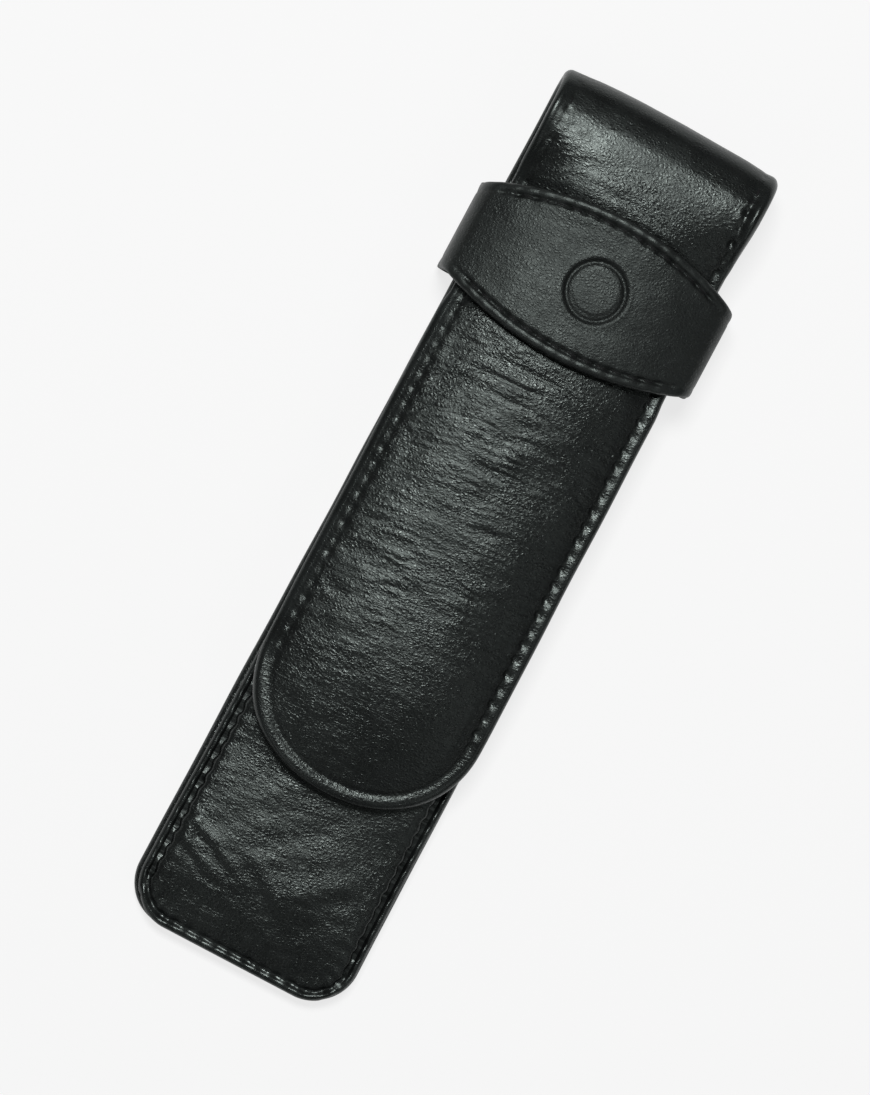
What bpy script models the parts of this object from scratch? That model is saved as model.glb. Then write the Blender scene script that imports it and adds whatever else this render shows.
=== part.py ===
# Two pen case in soft black leather, closed and lying on its back.
# X runs across the case, Y along it with the fold at +Y, Z up from the table.
# The origin is on the table, under the middle of the case. Sizes are in metres.
#
# One long leather strip runs up the back, over the top and down the front as the flap.
# The pouch front is sewn to it along both sides and the foot, and a keeper band holds
# the flap's tongue down. Every outer leather is turned over at its edge, and its
# interlining and lining lie inside that rim.

import math

import bmesh
import bpy
from mathutils import Vector

# Case body
CASE_LENGTH = 0.160          # foot to the outside of the fold
FOOT_WIDTH = 0.0420          # sewn body across the foot
TOP_WIDTH = 0.0408           # sewn body across the top of the back
FOOT_CORNER = 0.0080         # radius of the two lower corners
PEN_ROOM = 0.0075            # clear depth of the compartments
LYING_LENGTH = 0.0300        # length at the foot that lies on the table

# Thicknesses
LEATHER = 0.0010
INTERLINING = 0.0005
LINING = 0.0004
GAP = 0.0003                 # left between pieces that lie on each other
RIM = 0.0014                 # width of the leather turned over at an edge

# Pouch front
FRONT_STEP = 0.0004          # pouch edge inside the edge of the back
SEAM_MARGIN = 0.0036         # flat sewn border of the pouch
FOOT_SLOPE = 0.0230          # length over which the pouch comes down to the foot
MOUTH_SETBACK = 0.0160       # outside of the fold to the mouth
FACING_DEPTH = 0.0100        # leather facing inside the mouth

# Divider between the compartments
DIVIDER = 0.0006             # its thickness
DIVIDER_FOOT = 0.0035        # width of the two flanges that hold it
DIVIDER_SETBACK = 0.0040     # mouth to the top of the divider
DIVIDER_RISE = 0.0130        # foot of the case to the lower end of the divider

# Flap
FLAP_STEP = 0.0002           # edge of the flap inside the edge of the back
FLAP_LENGTH = 0.1274         # outside of the fold to the tip of the tongue
TONGUE_DEPTH = 0.0190        # rounded part of the tongue
FLAP_CROWN = 0.0040          # middle of the flap above its sides

# Keeper
KEEPER_SETBACK = 0.0320      # outside of the fold to the middle of the keeper
KEEPER_MIDDLE = 0.0263       # height of the band at its middle
KEEPER_SIDE = 0.0162         # height of the band at the sides
KEEPER_BACK = 0.0140         # height of the strap at the middle of the back
KEEPER_EASE = 0.0004         # room between the band and the sewn body, past the gap
KEEPER_CORNER = 0.0027       # radius where the band turns in under the back
KEEPER_TAB = 0.0050          # end of the band under the back
KEEPER_STRAIGHT = 0.0062     # upright part of the band at each side
KEEPER_LIFT = 0.0045         # table to the lower end of the band's turned edge

# Shapes as plain numbers
DOME_SHARES = (4.0, 1.25)    # squareness of the pouch and softness of its foot line
CROWN_POWER = 2.6            # roundness of the flap across its width
TONGUE_POWER = 2.15          # squareness of the tongue
FLARE_POWER = 2.0            # bow of the keeper's long edges
ARCH_POWER = 3               # how fast the rows bend to follow a rounded end
HINGE_SHARES = (0.25, 0.75)  # places of the two bending lines round the fold
RIM_SHARES = ((0.42, 0.03), (0.06, 0.28), (0.06, 0.74), (0.42, 0.97), (1.0, 1.0))

# Counts
COLUMNS = 14
BACK_ROWS = 13
BEND_ROWS = 4
FOLD_ROWS = 8
FLAP_ROWS = 15
FRONT_ROWS = 18
KEEPER_COLUMNS = 6
CROWN_STEPS = 7
SHOULDER_STEPS = 5
CORNER_STEPS = 4
DIVIDER_ROWS = 12
STRAP_ROWS = 6

# Tolerances of the modelling itself
SLOPE_STEP = 0.00002         # step used to measure the slope of a surface
MERGE = 0.000001             # points closer than this are one
SMOOTH_ANGLE = math.radians(40)

# Worked out from the sizes above
FLAP_WIDTH = TOP_WIDTH - 2 * FLAP_STEP
LAYERED = LEATHER + GAP + INTERLINING + GAP + LINING
FRONT_STACK = LEATHER + GAP + LINING
RISE = LEATHER + GAP         # the strap of the keeper passes under the back
FOLD_RADIUS = (LAYERED + PEN_ROOM + FRONT_STACK + GAP + LAYERED) / 2
FOLD_Y = CASE_LENGTH / 2 - FOLD_RADIUS
FOLD_Z = RISE + FOLD_RADIUS
BACK_RUN = CASE_LENGTH - FOLD_RADIUS
FOLD_RUN = math.pi * FOLD_RADIUS
FLAP_START = BACK_RUN + FOLD_RUN
SEAM_TOP = LAYERED + GAP + FRONT_STACK
DOME = PEN_ROOM + LAYERED + FRONT_STACK - SEAM_TOP
MOUTH_RUN = CASE_LENGTH - MOUTH_SETBACK
KEEPER_Y = CASE_LENGTH / 2 - KEEPER_SETBACK
BAND_RUN = CASE_LENGTH - KEEPER_SETBACK - KEEPER_MIDDLE / 2
BODY_AT_BAND = FOOT_WIDTH + (TOP_WIDTH - FOOT_WIDTH) * BAND_RUN / BACK_RUN
KEEPER_HALF = max(FLAP_WIDTH, BODY_AT_BAND) / 2 + GAP + LAYERED + KEEPER_EASE
CROWN_RUN = FOLD_Y - KEEPER_Y - KEEPER_MIDDLE / 2    # the crown is full above the keeper
NEUTRAL_RADIUS = FOLD_RADIUS - LEATHER / 2
PIVOT_RADIUS = FOLD_RUN / FOLD_RADIUS / (2 * math.sqrt(2)) * NEUTRAL_RADIUS
MITRE = GAP / 2 * FOLD_RADIUS / (FOLD_RADIUS - LAYERED)


def clear_scene():
    for old in list(bpy.data.objects):
        bpy.data.objects.remove(old, do_unlink=True)


def make_material(name, colour, roughness):
    material = bpy.data.materials.new(name)
    material.use_nodes = True
    shader = material.node_tree.nodes["Principled BSDF"]
    shader.inputs["Base Color"].default_value = (*colour, 1.0)
    shader.inputs["Roughness"].default_value = roughness
    shader.inputs["Metallic"].default_value = 0.0
    return material


# Shapes that several pieces share

def smooth_step(value):
    value = min(max(value, 0.0), 1.0)
    return value * value * (3.0 - 2.0 * value)


def level(y):
    # Height of the outside of the back: on the table at the foot, over the keeper's
    # strap further up.
    low = LYING_LENGTH - CASE_LENGTH / 2
    high = KEEPER_Y - KEEPER_MIDDLE / 2
    return RISE * smooth_step((y - low) / (high - low))


def half_width(run):
    # Half the width of the long strip, by the distance from the foot.
    if run < BACK_RUN:
        return (FOOT_WIDTH + (TOP_WIDTH - FOOT_WIDTH) * run / BACK_RUN) / 2
    turned = min((run - BACK_RUN) / FOLD_RUN, 1.0)
    return (TOP_WIDTH + (FLAP_WIDTH - TOP_WIDTH) * turned) / 2


def dome_share(place):
    # One in the middle of the pouch, falling softly to zero at its seam.
    power, softness = DOME_SHARES
    return (1.0 - min(abs(place), 1.0) ** power) ** softness


def front_height(x, y):
    run = y + CASE_LENGTH / 2
    seam = half_width(run) - FRONT_STEP - SEAM_MARGIN
    foot = (SEAM_MARGIN + FOOT_SLOPE - run) / FOOT_SLOPE
    return level(y) + SEAM_TOP + DOME * dome_share(x / seam) * dome_share(max(foot, 0.0))


def flap_height(x, y):
    grown = smooth_step((FOLD_Y - y) / CROWN_RUN)
    fall = FLAP_CROWN * grown * (abs(x) / (FLAP_WIDTH / 2)) ** CROWN_POWER
    return level(y) + 2 * FOLD_RADIUS - fall


def below(height, x, y, depth):
    # The point at a depth under a surface, measured square to it.
    slope_x = (height(x + SLOPE_STEP, y) - height(x - SLOPE_STEP, y)) / (2 * SLOPE_STEP)
    slope_y = (height(x, y + SLOPE_STEP) - height(x, y - SLOPE_STEP)) / (2 * SLOPE_STEP)
    normal = Vector((-slope_x, -slope_y, 1.0)).normalized()
    return Vector((x, y, height(x, y))) - normal * depth


def strip_point(x, run, depth):
    # A point of the long strip, by its distance from the foot and depth from the outside.
    if run < BACK_RUN:
        y = run - CASE_LENGTH / 2
        return Vector((x, y, level(y) + depth))
    if run > FLAP_START:
        return below(flap_height, x, FOLD_Y - (run - FLAP_START), depth)
    turn = (run - BACK_RUN) / FOLD_RADIUS
    radius = FOLD_RADIUS - depth
    return Vector((x, FOLD_Y + radius * math.sin(turn), FOLD_Z - radius * math.cos(turn)))


def foot_line(x, half, inset):
    # Distance of the rounded lower edge from the foot, at x.
    radius = FOOT_CORNER - inset
    past = max(abs(x) - (half - radius), 0.0)
    return inset + radius - math.sqrt(max(radius * radius - past * past, 0.0))


# The pieces as grids: a spot is found from its row, its column, how far the edge is
# drawn in, and its depth from the outer face.

def back_spot(row, column, inset, depth):
    top = BACK_RUN + HINGE_SHARES[0] * FOLD_RUN - MITRE
    half = half_width(0) - inset
    start = foot_line(column * half, half, inset)
    run = row * top + start * (1.0 - row) ** ARCH_POWER
    return strip_point(column * (half_width(run) - inset), run, depth)


def fold_spot(row, column, inset, depth):
    start = BACK_RUN + HINGE_SHARES[0] * FOLD_RUN + MITRE
    end = BACK_RUN + HINGE_SHARES[1] * FOLD_RUN - MITRE
    run = start + (end - start) * row
    return strip_point(column * (half_width(run) - inset), run, depth)


def flap_spot(row, column, inset, depth):
    start = BACK_RUN + HINGE_SHARES[1] * FOLD_RUN + MITRE
    tip = FLAP_START + FLAP_LENGTH - FOLD_RADIUS - inset
    round_share = 1.0 - (1.0 - abs(column) ** TONGUE_POWER) ** (1.0 / TONGUE_POWER)
    drawn = (TONGUE_DEPTH - inset) * round_share
    run = start + (tip - start) * row - drawn * row ** ARCH_POWER
    return strip_point(column * (half_width(run) - inset), run, depth)


def front_spot(row, column, inset, depth, top=MOUTH_RUN):
    end = top - inset
    half = half_width(0) - FRONT_STEP - inset
    start = foot_line(column * half, half, inset)
    run = row * end + start * (1.0 - row) ** ARCH_POWER
    x = column * (half_width(run) - FRONT_STEP - inset)
    return below(front_height, x, run - CASE_LENGTH / 2, depth)


def facing_spot(row, column, inset, depth):
    start = MOUTH_RUN - inset - FACING_DEPTH
    run = start + FACING_DEPTH * row
    x = column * (half_width(run) - FRONT_STEP - inset)
    return below(front_height, x, run - CASE_LENGTH / 2, depth)


def front_lining_spot(row, column, inset, depth):
    return front_spot(row, column, inset, depth, MOUTH_RUN - FACING_DEPTH - GAP)


def keeper_path():
    # Outer line of the band in the XZ plane, from the crown of the case round one side
    # to the tab under the back, with its outward direction at every point.
    offset = GAP + LAYERED
    points = []
    for step in range(CROWN_STEPS + 1):
        x = FLAP_WIDTH / 2 * math.sin(math.pi / 2 * step / CROWN_STEPS)
        points.append(below(crown_at_keeper, x, KEEPER_Y, -offset).xz)
    edge = points[-1]
    edge_slope = (edge - points[-2]).normalized()
    corner = Vector((KEEPER_HALF, edge.y + edge_slope.y / edge_slope.x * (KEEPER_HALF - edge.x)))
    upright = Vector((KEEPER_HALF, KEEPER_CORNER + KEEPER_STRAIGHT))
    for step in range(1, SHOULDER_STEPS + 1):
        part = step / SHOULDER_STEPS
        points.append(edge.lerp(corner, part).lerp(corner.lerp(upright, part), part))
    points.append(Vector((KEEPER_HALF, KEEPER_LIFT)))
    for step in range(CORNER_STEPS + 1):
        turn = math.pi / 2 * step / CORNER_STEPS
        points.append(Vector((KEEPER_HALF - KEEPER_CORNER * (1.0 - math.cos(turn)),
                              KEEPER_CORNER * (1.0 - math.sin(turn)))))
    points.append(Vector((KEEPER_HALF - KEEPER_CORNER - KEEPER_TAB, 0.0)))
    outward = []
    for index, point in enumerate(points):
        before = points[index - 1] if index else Vector((-points[1].x, points[1].y))
        after = points[index + 1] if index + 1 < len(points) else point * 2 - before
        along = (after - before).normalized()
        outward.append(Vector((-along.y, along.x)))
    return points, outward


def crown_at_keeper(x, y):
    return flap_height(x, FOLD_Y - CROWN_RUN) - level(FOLD_Y - CROWN_RUN) + RISE


def keeper_rows():
    # Row numbers run from the left tab through zero at the crown to the right tab.
    count = len(KEEPER_LINE[0])
    return list(range(1 - count, count))


def keeper_lined_rows():
    # Only the rows above the lower end of the turned edge.
    count = CROWN_STEPS + SHOULDER_STEPS + 2
    return list(range(1 - count, count))


def keeper_height(x):
    bow = (abs(x) / KEEPER_HALF) ** FLARE_POWER
    return KEEPER_MIDDLE + (KEEPER_SIDE - KEEPER_MIDDLE) * bow


def keeper_spot(row, column, inset, depth):
    points, outward = KEEPER_LINE
    side = -1.0 if row < 0 else 1.0
    point = points[abs(row)] - outward[abs(row)] * depth
    passed_shoulder = abs(row) > CROWN_STEPS + SHOULDER_STEPS
    wide = KEEPER_HALF if passed_shoulder else points[abs(row)].x
    y = KEEPER_Y + column * (keeper_height(wide) / 2 - inset)
    return Vector((side * point.x, y, point.y))


def keeper_turned(row):
    # Depth of the turned edge: the whole stack on the band, none on its tabs.
    return LAYERED if row in KEEPER_LINED else LEATHER


def strap_spot(row, column, inset, depth):
    reach = KEEPER_HALF - KEEPER_CORNER - KEEPER_TAB - GAP
    height = KEEPER_BACK + (KEEPER_SIDE - KEEPER_BACK) * row * row
    return Vector((row * reach, KEEPER_Y + column * height / 2, depth))


# Building solids from spots

def even_shares(count):
    return [step / count for step in range(count + 1)]


def centred_shares(count):
    return [2.0 * step / count - 1.0 for step in range(count + 1)]


def edge_crowded_shares(count):
    return [math.sin(math.pi / 2 * share) for share in centred_shares(count)]


def bend_shares(flat_count, bend_count, bend_share):
    # Rows along a stretch whose last share is bent round the fold.
    flat = [(1.0 - bend_share) * share for share in even_shares(flat_count)]
    bent = [1.0 - bend_share * (1.0 - share) for share in even_shares(bend_count)]
    return flat + bent[1:]


def add_grid(solid, spot, rows, columns, inset, depth):
    return [[solid.verts.new(spot(row, column, inset, depth)) for column in columns]
            for row in rows]


def fill_grid(solid, lines):
    for near, far in zip(lines, lines[1:]):
        for corners in zip(near, near[1:], far[1:], far):
            solid.faces.new(corners)


def edge_runs(row_count, column_count, turned_start, turned_end):
    # The border of a grid as runs of row and column numbers, open where the leather
    # goes on into its neighbour.
    last_row = row_count - 1
    last_column = column_count - 1
    left = [(row, 0) for row in range(row_count)]
    right = [(row, last_column) for row in reversed(range(row_count))]
    end = [(last_row, column) for column in range(1, last_column)]
    start = [(0, column) for column in reversed(range(1, last_column))]
    if turned_start and turned_end:
        return [left + end + right + start + left[:1]]
    if turned_end:
        return [left + end + right]
    if turned_start:
        return [right + start + left]
    return [left, right]


def border_of(lines):
    last_row = len(lines) - 1
    last_column = len(lines[0]) - 1
    return {(row, column): vertex
            for row, line in enumerate(lines) for column, vertex in enumerate(line)
            if row in (0, last_row) or column in (0, last_column)}


def join_rings(solid, rings, runs):
    for ring, inner in zip(rings, rings[1:]):
        for run in runs:
            for here, there in zip(run, run[1:]):
                solid.faces.new((ring[here], ring[there], inner[there], inner[here]))


def cap_end(solid, outer_line, inner_line, rings, row):
    # The cut end of a turned leather, where the strip goes on as the next piece.
    last_column = len(outer_line) - 1
    right = [ring[(row, last_column)] for ring in rings[1:-1]]
    left = [ring[(row, 0)] for ring in reversed(rings[1:-1])]
    solid.faces.new(outer_line + right + list(reversed(inner_line)) + left)


def turned_leather(name, spot, rows, columns, material, turned_start, turned_end, turned):
    # A sheet of leather whose edge is rolled over its interlining and lining.
    solid = bmesh.new()
    outer = add_grid(solid, spot, rows, columns, RIM, 0.0)
    inner = add_grid(solid, spot, rows, columns, RIM, LEATHER)
    fill_grid(solid, outer)
    fill_grid(solid, inner)
    runs = edge_runs(len(rows), len(columns), turned_start, turned_end)
    rings = [border_of(outer)]
    for inset_share, depth_share in RIM_SHARES:
        ring = {}
        for row, column in {place for run in runs for place in run}:
            depth = turned(rows[row]) * depth_share
            ring[(row, column)] = solid.verts.new(
                spot(rows[row], columns[column], RIM * inset_share, depth))
        rings.append(ring)
    rings.append(border_of(inner))
    join_rings(solid, rings, runs)
    if not turned_start:
        cap_end(solid, outer[0], inner[0], rings, 0)
    if not turned_end:
        cap_end(solid, outer[-1], inner[-1], rings, len(rows) - 1)
    return finish_solid(name, solid, material)


def whole_stack(row):
    return LAYERED


def front_stack(row):
    return FRONT_STACK


def plain_layer(name, spot, rows, columns, near, thickness, material, inset=RIM + GAP):
    # A sheet of even thickness that lies inside the turned rim of an outer leather.
    solid = bmesh.new()
    outer = add_grid(solid, spot, rows, columns, inset, near)
    inner = add_grid(solid, spot, rows, columns, inset, near + thickness)
    fill_grid(solid, outer)
    fill_grid(solid, inner)
    runs = edge_runs(len(rows), len(columns), True, True)
    join_rings(solid, [border_of(outer), border_of(inner)], runs)
    return finish_solid(name, solid, material)


def finish_solid(name, solid, material):
    bmesh.ops.remove_doubles(solid, verts=solid.verts, dist=MERGE)
    bmesh.ops.recalc_face_normals(solid, faces=solid.faces)
    mesh = bpy.data.meshes.new(name)
    solid.to_mesh(mesh)
    solid.free()
    mesh.materials.append(material)
    mesh.shade_smooth()
    mesh.set_sharp_from_angle(angle=SMOOTH_ANGLE)
    piece = bpy.data.objects.new(name, mesh)
    bpy.context.scene.collection.objects.link(piece)
    return piece


def interlining_depth():
    return LEATHER + GAP


def lining_depth():
    return LEATHER + GAP + INTERLINING + GAP


# The pieces

def make_back(leather, board, cloth):
    bend = HINGE_SHARES[0] * FOLD_RUN / (BACK_RUN + HINGE_SHARES[0] * FOLD_RUN)
    rows = bend_shares(BACK_ROWS, BEND_ROWS, bend)
    columns = edge_crowded_shares(COLUMNS)
    return [
        turned_leather("back_leather", back_spot, rows, columns, leather, True, False, whole_stack),
        plain_layer("back_interlining", back_spot, rows, columns,
                    interlining_depth(), INTERLINING, board),
        plain_layer("back_lining", back_spot, rows, columns, lining_depth(), LINING, cloth),
    ]


def make_fold(leather, board, cloth):
    rows = even_shares(FOLD_ROWS)
    columns = edge_crowded_shares(COLUMNS)
    return [
        turned_leather("fold_leather", fold_spot, rows, columns, leather, False, False, whole_stack),
        plain_layer("fold_interlining", fold_spot, rows, columns,
                    interlining_depth(), INTERLINING, board),
        plain_layer("fold_lining", fold_spot, rows, columns, lining_depth(), LINING, cloth),
    ]


def make_flap(leather, board, cloth):
    bend_run = (1.0 - HINGE_SHARES[1]) * FOLD_RUN
    bend = bend_run / (bend_run + FLAP_LENGTH - FOLD_RADIUS)
    rows = [1.0 - share for share in reversed(bend_shares(FLAP_ROWS, BEND_ROWS, bend))]
    columns = edge_crowded_shares(COLUMNS)
    return [
        turned_leather("flap_leather", flap_spot, rows, columns, leather, False, True, whole_stack),
        plain_layer("flap_interlining", flap_spot, rows, columns,
                    interlining_depth(), INTERLINING, board),
        plain_layer("flap_lining", flap_spot, rows, columns, lining_depth(), LINING, cloth),
    ]


def make_front(leather, cloth):
    slope = (SEAM_MARGIN + FOOT_SLOPE) / MOUTH_RUN
    foot_rows = [slope * share for share in even_shares(FRONT_ROWS // 2)]
    upper_rows = [slope + (1.0 - slope) * share for share in even_shares(FRONT_ROWS // 2)]
    rows = foot_rows + upper_rows[1:]
    columns = edge_crowded_shares(COLUMNS + 2)
    depth = LEATHER + GAP
    return [
        turned_leather("front_leather", front_spot, rows, columns, leather, True, True, front_stack),
        plain_layer("front_lining", front_lining_spot, rows, columns, depth, LINING, cloth),
        plain_layer("mouth_facing", facing_spot, even_shares(2), columns, depth, LINING, leather),
    ]


def make_divider(material):
    # A strip folded to a Z: its lower flange lies on the back lining, its upper one
    # under the front lining, and the web between them parts the two compartments.
    solid = bmesh.new()
    web = DIVIDER / 2
    loops = []
    for share in even_shares(DIVIDER_ROWS):
        top = MOUTH_RUN - DIVIDER_SETBACK
        y = DIVIDER_RISE + (top - DIVIDER_RISE) * share - CASE_LENGTH / 2
        floor = level(y) + LAYERED + GAP
        ceiling = [below(front_height, x, y, FRONT_STACK + GAP).z for x in (web, -web, -DIVIDER_FOOT)]
        corners = (
            (-web, floor),
            (DIVIDER_FOOT, floor),
            (DIVIDER_FOOT, floor + DIVIDER),
            (web, floor + DIVIDER),
            (web, ceiling[0]),
            (-DIVIDER_FOOT, ceiling[2]),
            (-DIVIDER_FOOT, ceiling[2] - DIVIDER),
            (-web, ceiling[1] - DIVIDER),
        )
        loops.append([solid.verts.new((x, y, z)) for x, z in corners])
    for near, far in zip(loops, loops[1:]):
        for index, corner in enumerate(near):
            solid.faces.new((near[index - 1], corner, far[index], far[index - 1]))
    solid.faces.new(loops[0])
    solid.faces.new(loops[-1])
    return finish_solid("divider", solid, material)


def make_keeper(leather, board, cloth):
    rows = keeper_rows()
    columns = centred_shares(KEEPER_COLUMNS)
    strap_rows = centred_shares(STRAP_ROWS)
    return [
        turned_leather("keeper_leather", keeper_spot, rows, columns, leather,
                       False, False, keeper_turned),
        plain_layer("keeper_interlining", keeper_spot, KEEPER_LINED, columns,
                    interlining_depth(), INTERLINING, board),
        plain_layer("keeper_lining", keeper_spot, KEEPER_LINED, columns,
                    lining_depth(), LINING, cloth),
        plain_layer("keeper_strap", strap_spot, strap_rows, columns, 0.0, LEATHER, leather),
    ]


def hinge_place(share):
    # A bending line lies just outside the leather, so that the strip opens flat at its
    # own length.
    turn = math.pi * share
    return Vector((0.0, FOLD_Y + PIVOT_RADIUS * math.sin(turn),
                   FOLD_Z - PIVOT_RADIUS * math.cos(turn)))


def make_hinge(name, share, parent=None):
    hinge = bpy.data.objects.new(name, None)
    hinge.empty_display_size = FOLD_RADIUS
    bpy.context.scene.collection.objects.link(hinge)
    hinge.location = hinge_place(share)
    if parent:
        hinge.parent = parent
        hinge.location = hinge_place(share) - hinge_place(HINGE_SHARES[0])
    return hinge


def hang_on(pieces, hinge, share):
    for piece in pieces:
        piece.parent = hinge
        piece.location = -hinge_place(share)


KEEPER_LINE = keeper_path()
KEEPER_LINED = keeper_lined_rows()


def main():
    clear_scene()
    leather = make_material("black_leather", (0.013, 0.014, 0.014), 0.42)
    inner_leather = make_material("thin_leather", (0.020, 0.020, 0.021), 0.60)
    board = make_material("fibre_interlining", (0.35, 0.27, 0.19), 0.85)
    cloth = make_material("black_lining", (0.018, 0.018, 0.020), 0.80)
    make_back(leather, board, cloth)
    make_front(leather, cloth)
    make_divider(inner_leather)
    make_keeper(leather, board, cloth)
    fold_hinge = make_hinge("fold_hinge", HINGE_SHARES[0])
    hang_on(make_fold(leather, board, cloth), fold_hinge, HINGE_SHARES[0])
    flap_hinge = make_hinge("flap_hinge", HINGE_SHARES[1], fold_hinge)
    hang_on(make_flap(leather, board, cloth), flap_hinge, HINGE_SHARES[1])


main()
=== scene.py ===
import math

import bmesh
import bpy
import numpy as np
from mathutils import Matrix, Vector, kdtree, noise


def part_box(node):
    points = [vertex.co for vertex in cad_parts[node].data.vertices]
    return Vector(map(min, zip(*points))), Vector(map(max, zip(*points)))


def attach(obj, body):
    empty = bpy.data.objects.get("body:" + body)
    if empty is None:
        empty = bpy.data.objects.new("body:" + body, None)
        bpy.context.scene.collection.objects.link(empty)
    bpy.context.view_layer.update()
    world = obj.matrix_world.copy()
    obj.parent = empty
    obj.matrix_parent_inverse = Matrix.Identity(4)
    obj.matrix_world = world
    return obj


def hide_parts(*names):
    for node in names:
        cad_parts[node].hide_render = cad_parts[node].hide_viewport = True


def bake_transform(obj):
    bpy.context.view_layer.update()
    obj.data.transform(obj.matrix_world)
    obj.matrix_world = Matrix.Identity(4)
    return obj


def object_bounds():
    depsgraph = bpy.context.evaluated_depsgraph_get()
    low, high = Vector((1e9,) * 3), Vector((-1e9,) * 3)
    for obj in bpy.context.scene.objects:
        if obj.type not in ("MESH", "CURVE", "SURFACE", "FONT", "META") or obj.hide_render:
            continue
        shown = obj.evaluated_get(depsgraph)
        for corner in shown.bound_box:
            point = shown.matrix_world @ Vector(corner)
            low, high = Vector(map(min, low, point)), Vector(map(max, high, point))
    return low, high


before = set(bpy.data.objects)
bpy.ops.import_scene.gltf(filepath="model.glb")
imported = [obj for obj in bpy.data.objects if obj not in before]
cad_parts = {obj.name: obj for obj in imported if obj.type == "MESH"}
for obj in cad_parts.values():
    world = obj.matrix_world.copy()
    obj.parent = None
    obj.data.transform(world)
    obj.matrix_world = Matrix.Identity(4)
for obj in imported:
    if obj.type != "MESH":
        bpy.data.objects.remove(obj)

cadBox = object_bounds()
mm = 0.001
print("frame loaded")


# The case's sizes, from the frame where a box gives them

layers = {
    "leather": 1.0 * mm,
    "interlining": 0.5 * mm,
    "lining": 0.4 * mm,
    "gap": 0.3 * mm,          # left between layers
    "rim": 1.4 * mm,          # leather turned over at an edge, seen from inside
}
stripThick = layers["leather"] + layers["interlining"] + layers["lining"] + 2 * layers["gap"]
frontThick = layers["leather"] + layers["gap"] + layers["lining"]

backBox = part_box("back_leather")
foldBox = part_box("fold_leather")
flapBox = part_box("flap_leather")
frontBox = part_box("front_leather")
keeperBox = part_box("keeper_leather")

halfLength = cadBox[1].y
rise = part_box("keeper_strap")[1].z + layers["gap"]     # back above the table, over the strap
foldRadius = (flapBox[1].z - rise) / 2
foldY = halfLength - foldRadius
foldZ = rise + foldRadius
backRun = 2 * halfLength - foldRadius
foldRun = math.pi * foldRadius
flapStart = backRun + foldRun
mouthRun = frontBox[1].y + halfLength
keeperY = (keeperBox[0].y + keeperBox[1].y) / 2
keeperTall = keeperBox[1].y - keeperBox[0].y
seamTop = stripThick + layers["gap"] + frontThick

caseForm = {
    "footHalf": backBox[1].x,
    "topHalf": foldBox[1].x,
    "flapHalf": flapBox[1].x,
    "footCorner": 8.0 * mm,
    "lying": 30.0 * mm,           # length at the foot that lies on the table
    "frontStep": 0.4 * mm,        # pouch edge inside the edge of the back
    "seamMargin": 1.6 * mm,       # flat sewn border of the pouch
    "footSlope": 18.0 * mm,       # length over which the pouch comes down to the foot
    "dome": 7.2 * mm,             # middle of the pouch above its border
    "domeShape": (4.0, 1.25),     # squareness and softness of its cross-section
    "wallShape": (40.0, 0.58),    # the same at the empty end, and the share that is wall
    "archPower": 2.4,
    "footPower": 2.1,
    "emptied": 4.5 * mm,          # how much thinner the pouch is at its empty end
    "emptiedFrom": 96.0 * mm,
    "emptiedTo": 130.0 * mm,
    "crown": 4.0 * mm,            # middle of the flap above its sides
    "crownPower": 2.6,
    "tongueDepth": 19.0 * mm,
    "tonguePower": 2.15,
    "drift": 0.0095,              # how far the flap leans to the right, as a slope
    "driftFrom": 40.0 * mm,       # from this far below the top
    "wobble": 0.08 * mm,          # how uneven a cut edge is
    "spread": 0.030,              # how much wider the flap lies below the keeper
    "spreadOver": (27.0 * mm, 15.0 * mm),    # from this far below the top, over this length
    "foldEnds": 0.7 * mm,         # how far the fold is drawn in at its two ends
    "squeeze": 0.5 * mm,          # how far the pouch's left edge is drawn in
    "tipFall": 4.1 * mm,          # how far the tongue bends down
    "tipTwist": 12.0,             # how far the tongue turns to the right as it bends down
    "tipFrom": 96.0 * mm,         # from this far below the top
}
crownRun = foldY - keeperY - keeperTall / 2
flapTip = flapStart + foldY - flapBox[0].y


def smoothStep(value):
    value = np.clip(value, 0.0, 1.0)
    return value * value * (3.0 - 2.0 * value)


def rises(value, start, length):
    return smoothStep((value - start) / length)


def falls(value, start, length):
    return 1.0 - rises(value, start, length)


def noiseAt(a, b, seed):
    a, b = np.broadcast_arrays(np.asarray(a, float), np.asarray(b, float))
    found = [noise.noise((p, q, seed * 7.31)) for p, q in zip(a.ravel(), b.ravel())]
    return np.array(found).reshape(a.shape)


def unit(vectors):
    return vectors / np.linalg.norm(vectors, axis=-1, keepdims=True)


def bell(value, width):
    return np.exp(-(value / width) ** 2)


def level(y):
    low = caseForm["lying"] - halfLength
    high = keeperY - keeperTall / 2
    return rise * rises(y, low, high - low)


def halfWidth(run):
    onBack = caseForm["footHalf"] + (caseForm["topHalf"] - caseForm["footHalf"]) * run / backRun
    turned = np.clip((run - backRun) / foldRun, 0.0, 1.0)
    onFlap = caseForm["topHalf"] + (caseForm["flapHalf"] - caseForm["topHalf"]) * turned
    return np.where(run < backRun, onBack, onFlap)


def domeShare(place, power, softness=1.0):
    return (1.0 - np.minimum(abs(place), 1.0) ** power) ** softness


def tipFall(down):
    # The tongue follows the pouch, which gets thinner towards the foot.
    reach = flapTip - flapStart + foldRadius - caseForm["tipFrom"]
    share = np.clip((down - caseForm["tipFrom"]) / reach, 0.0, 1.4)
    return caseForm["tipFall"] * share ** 2


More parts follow.
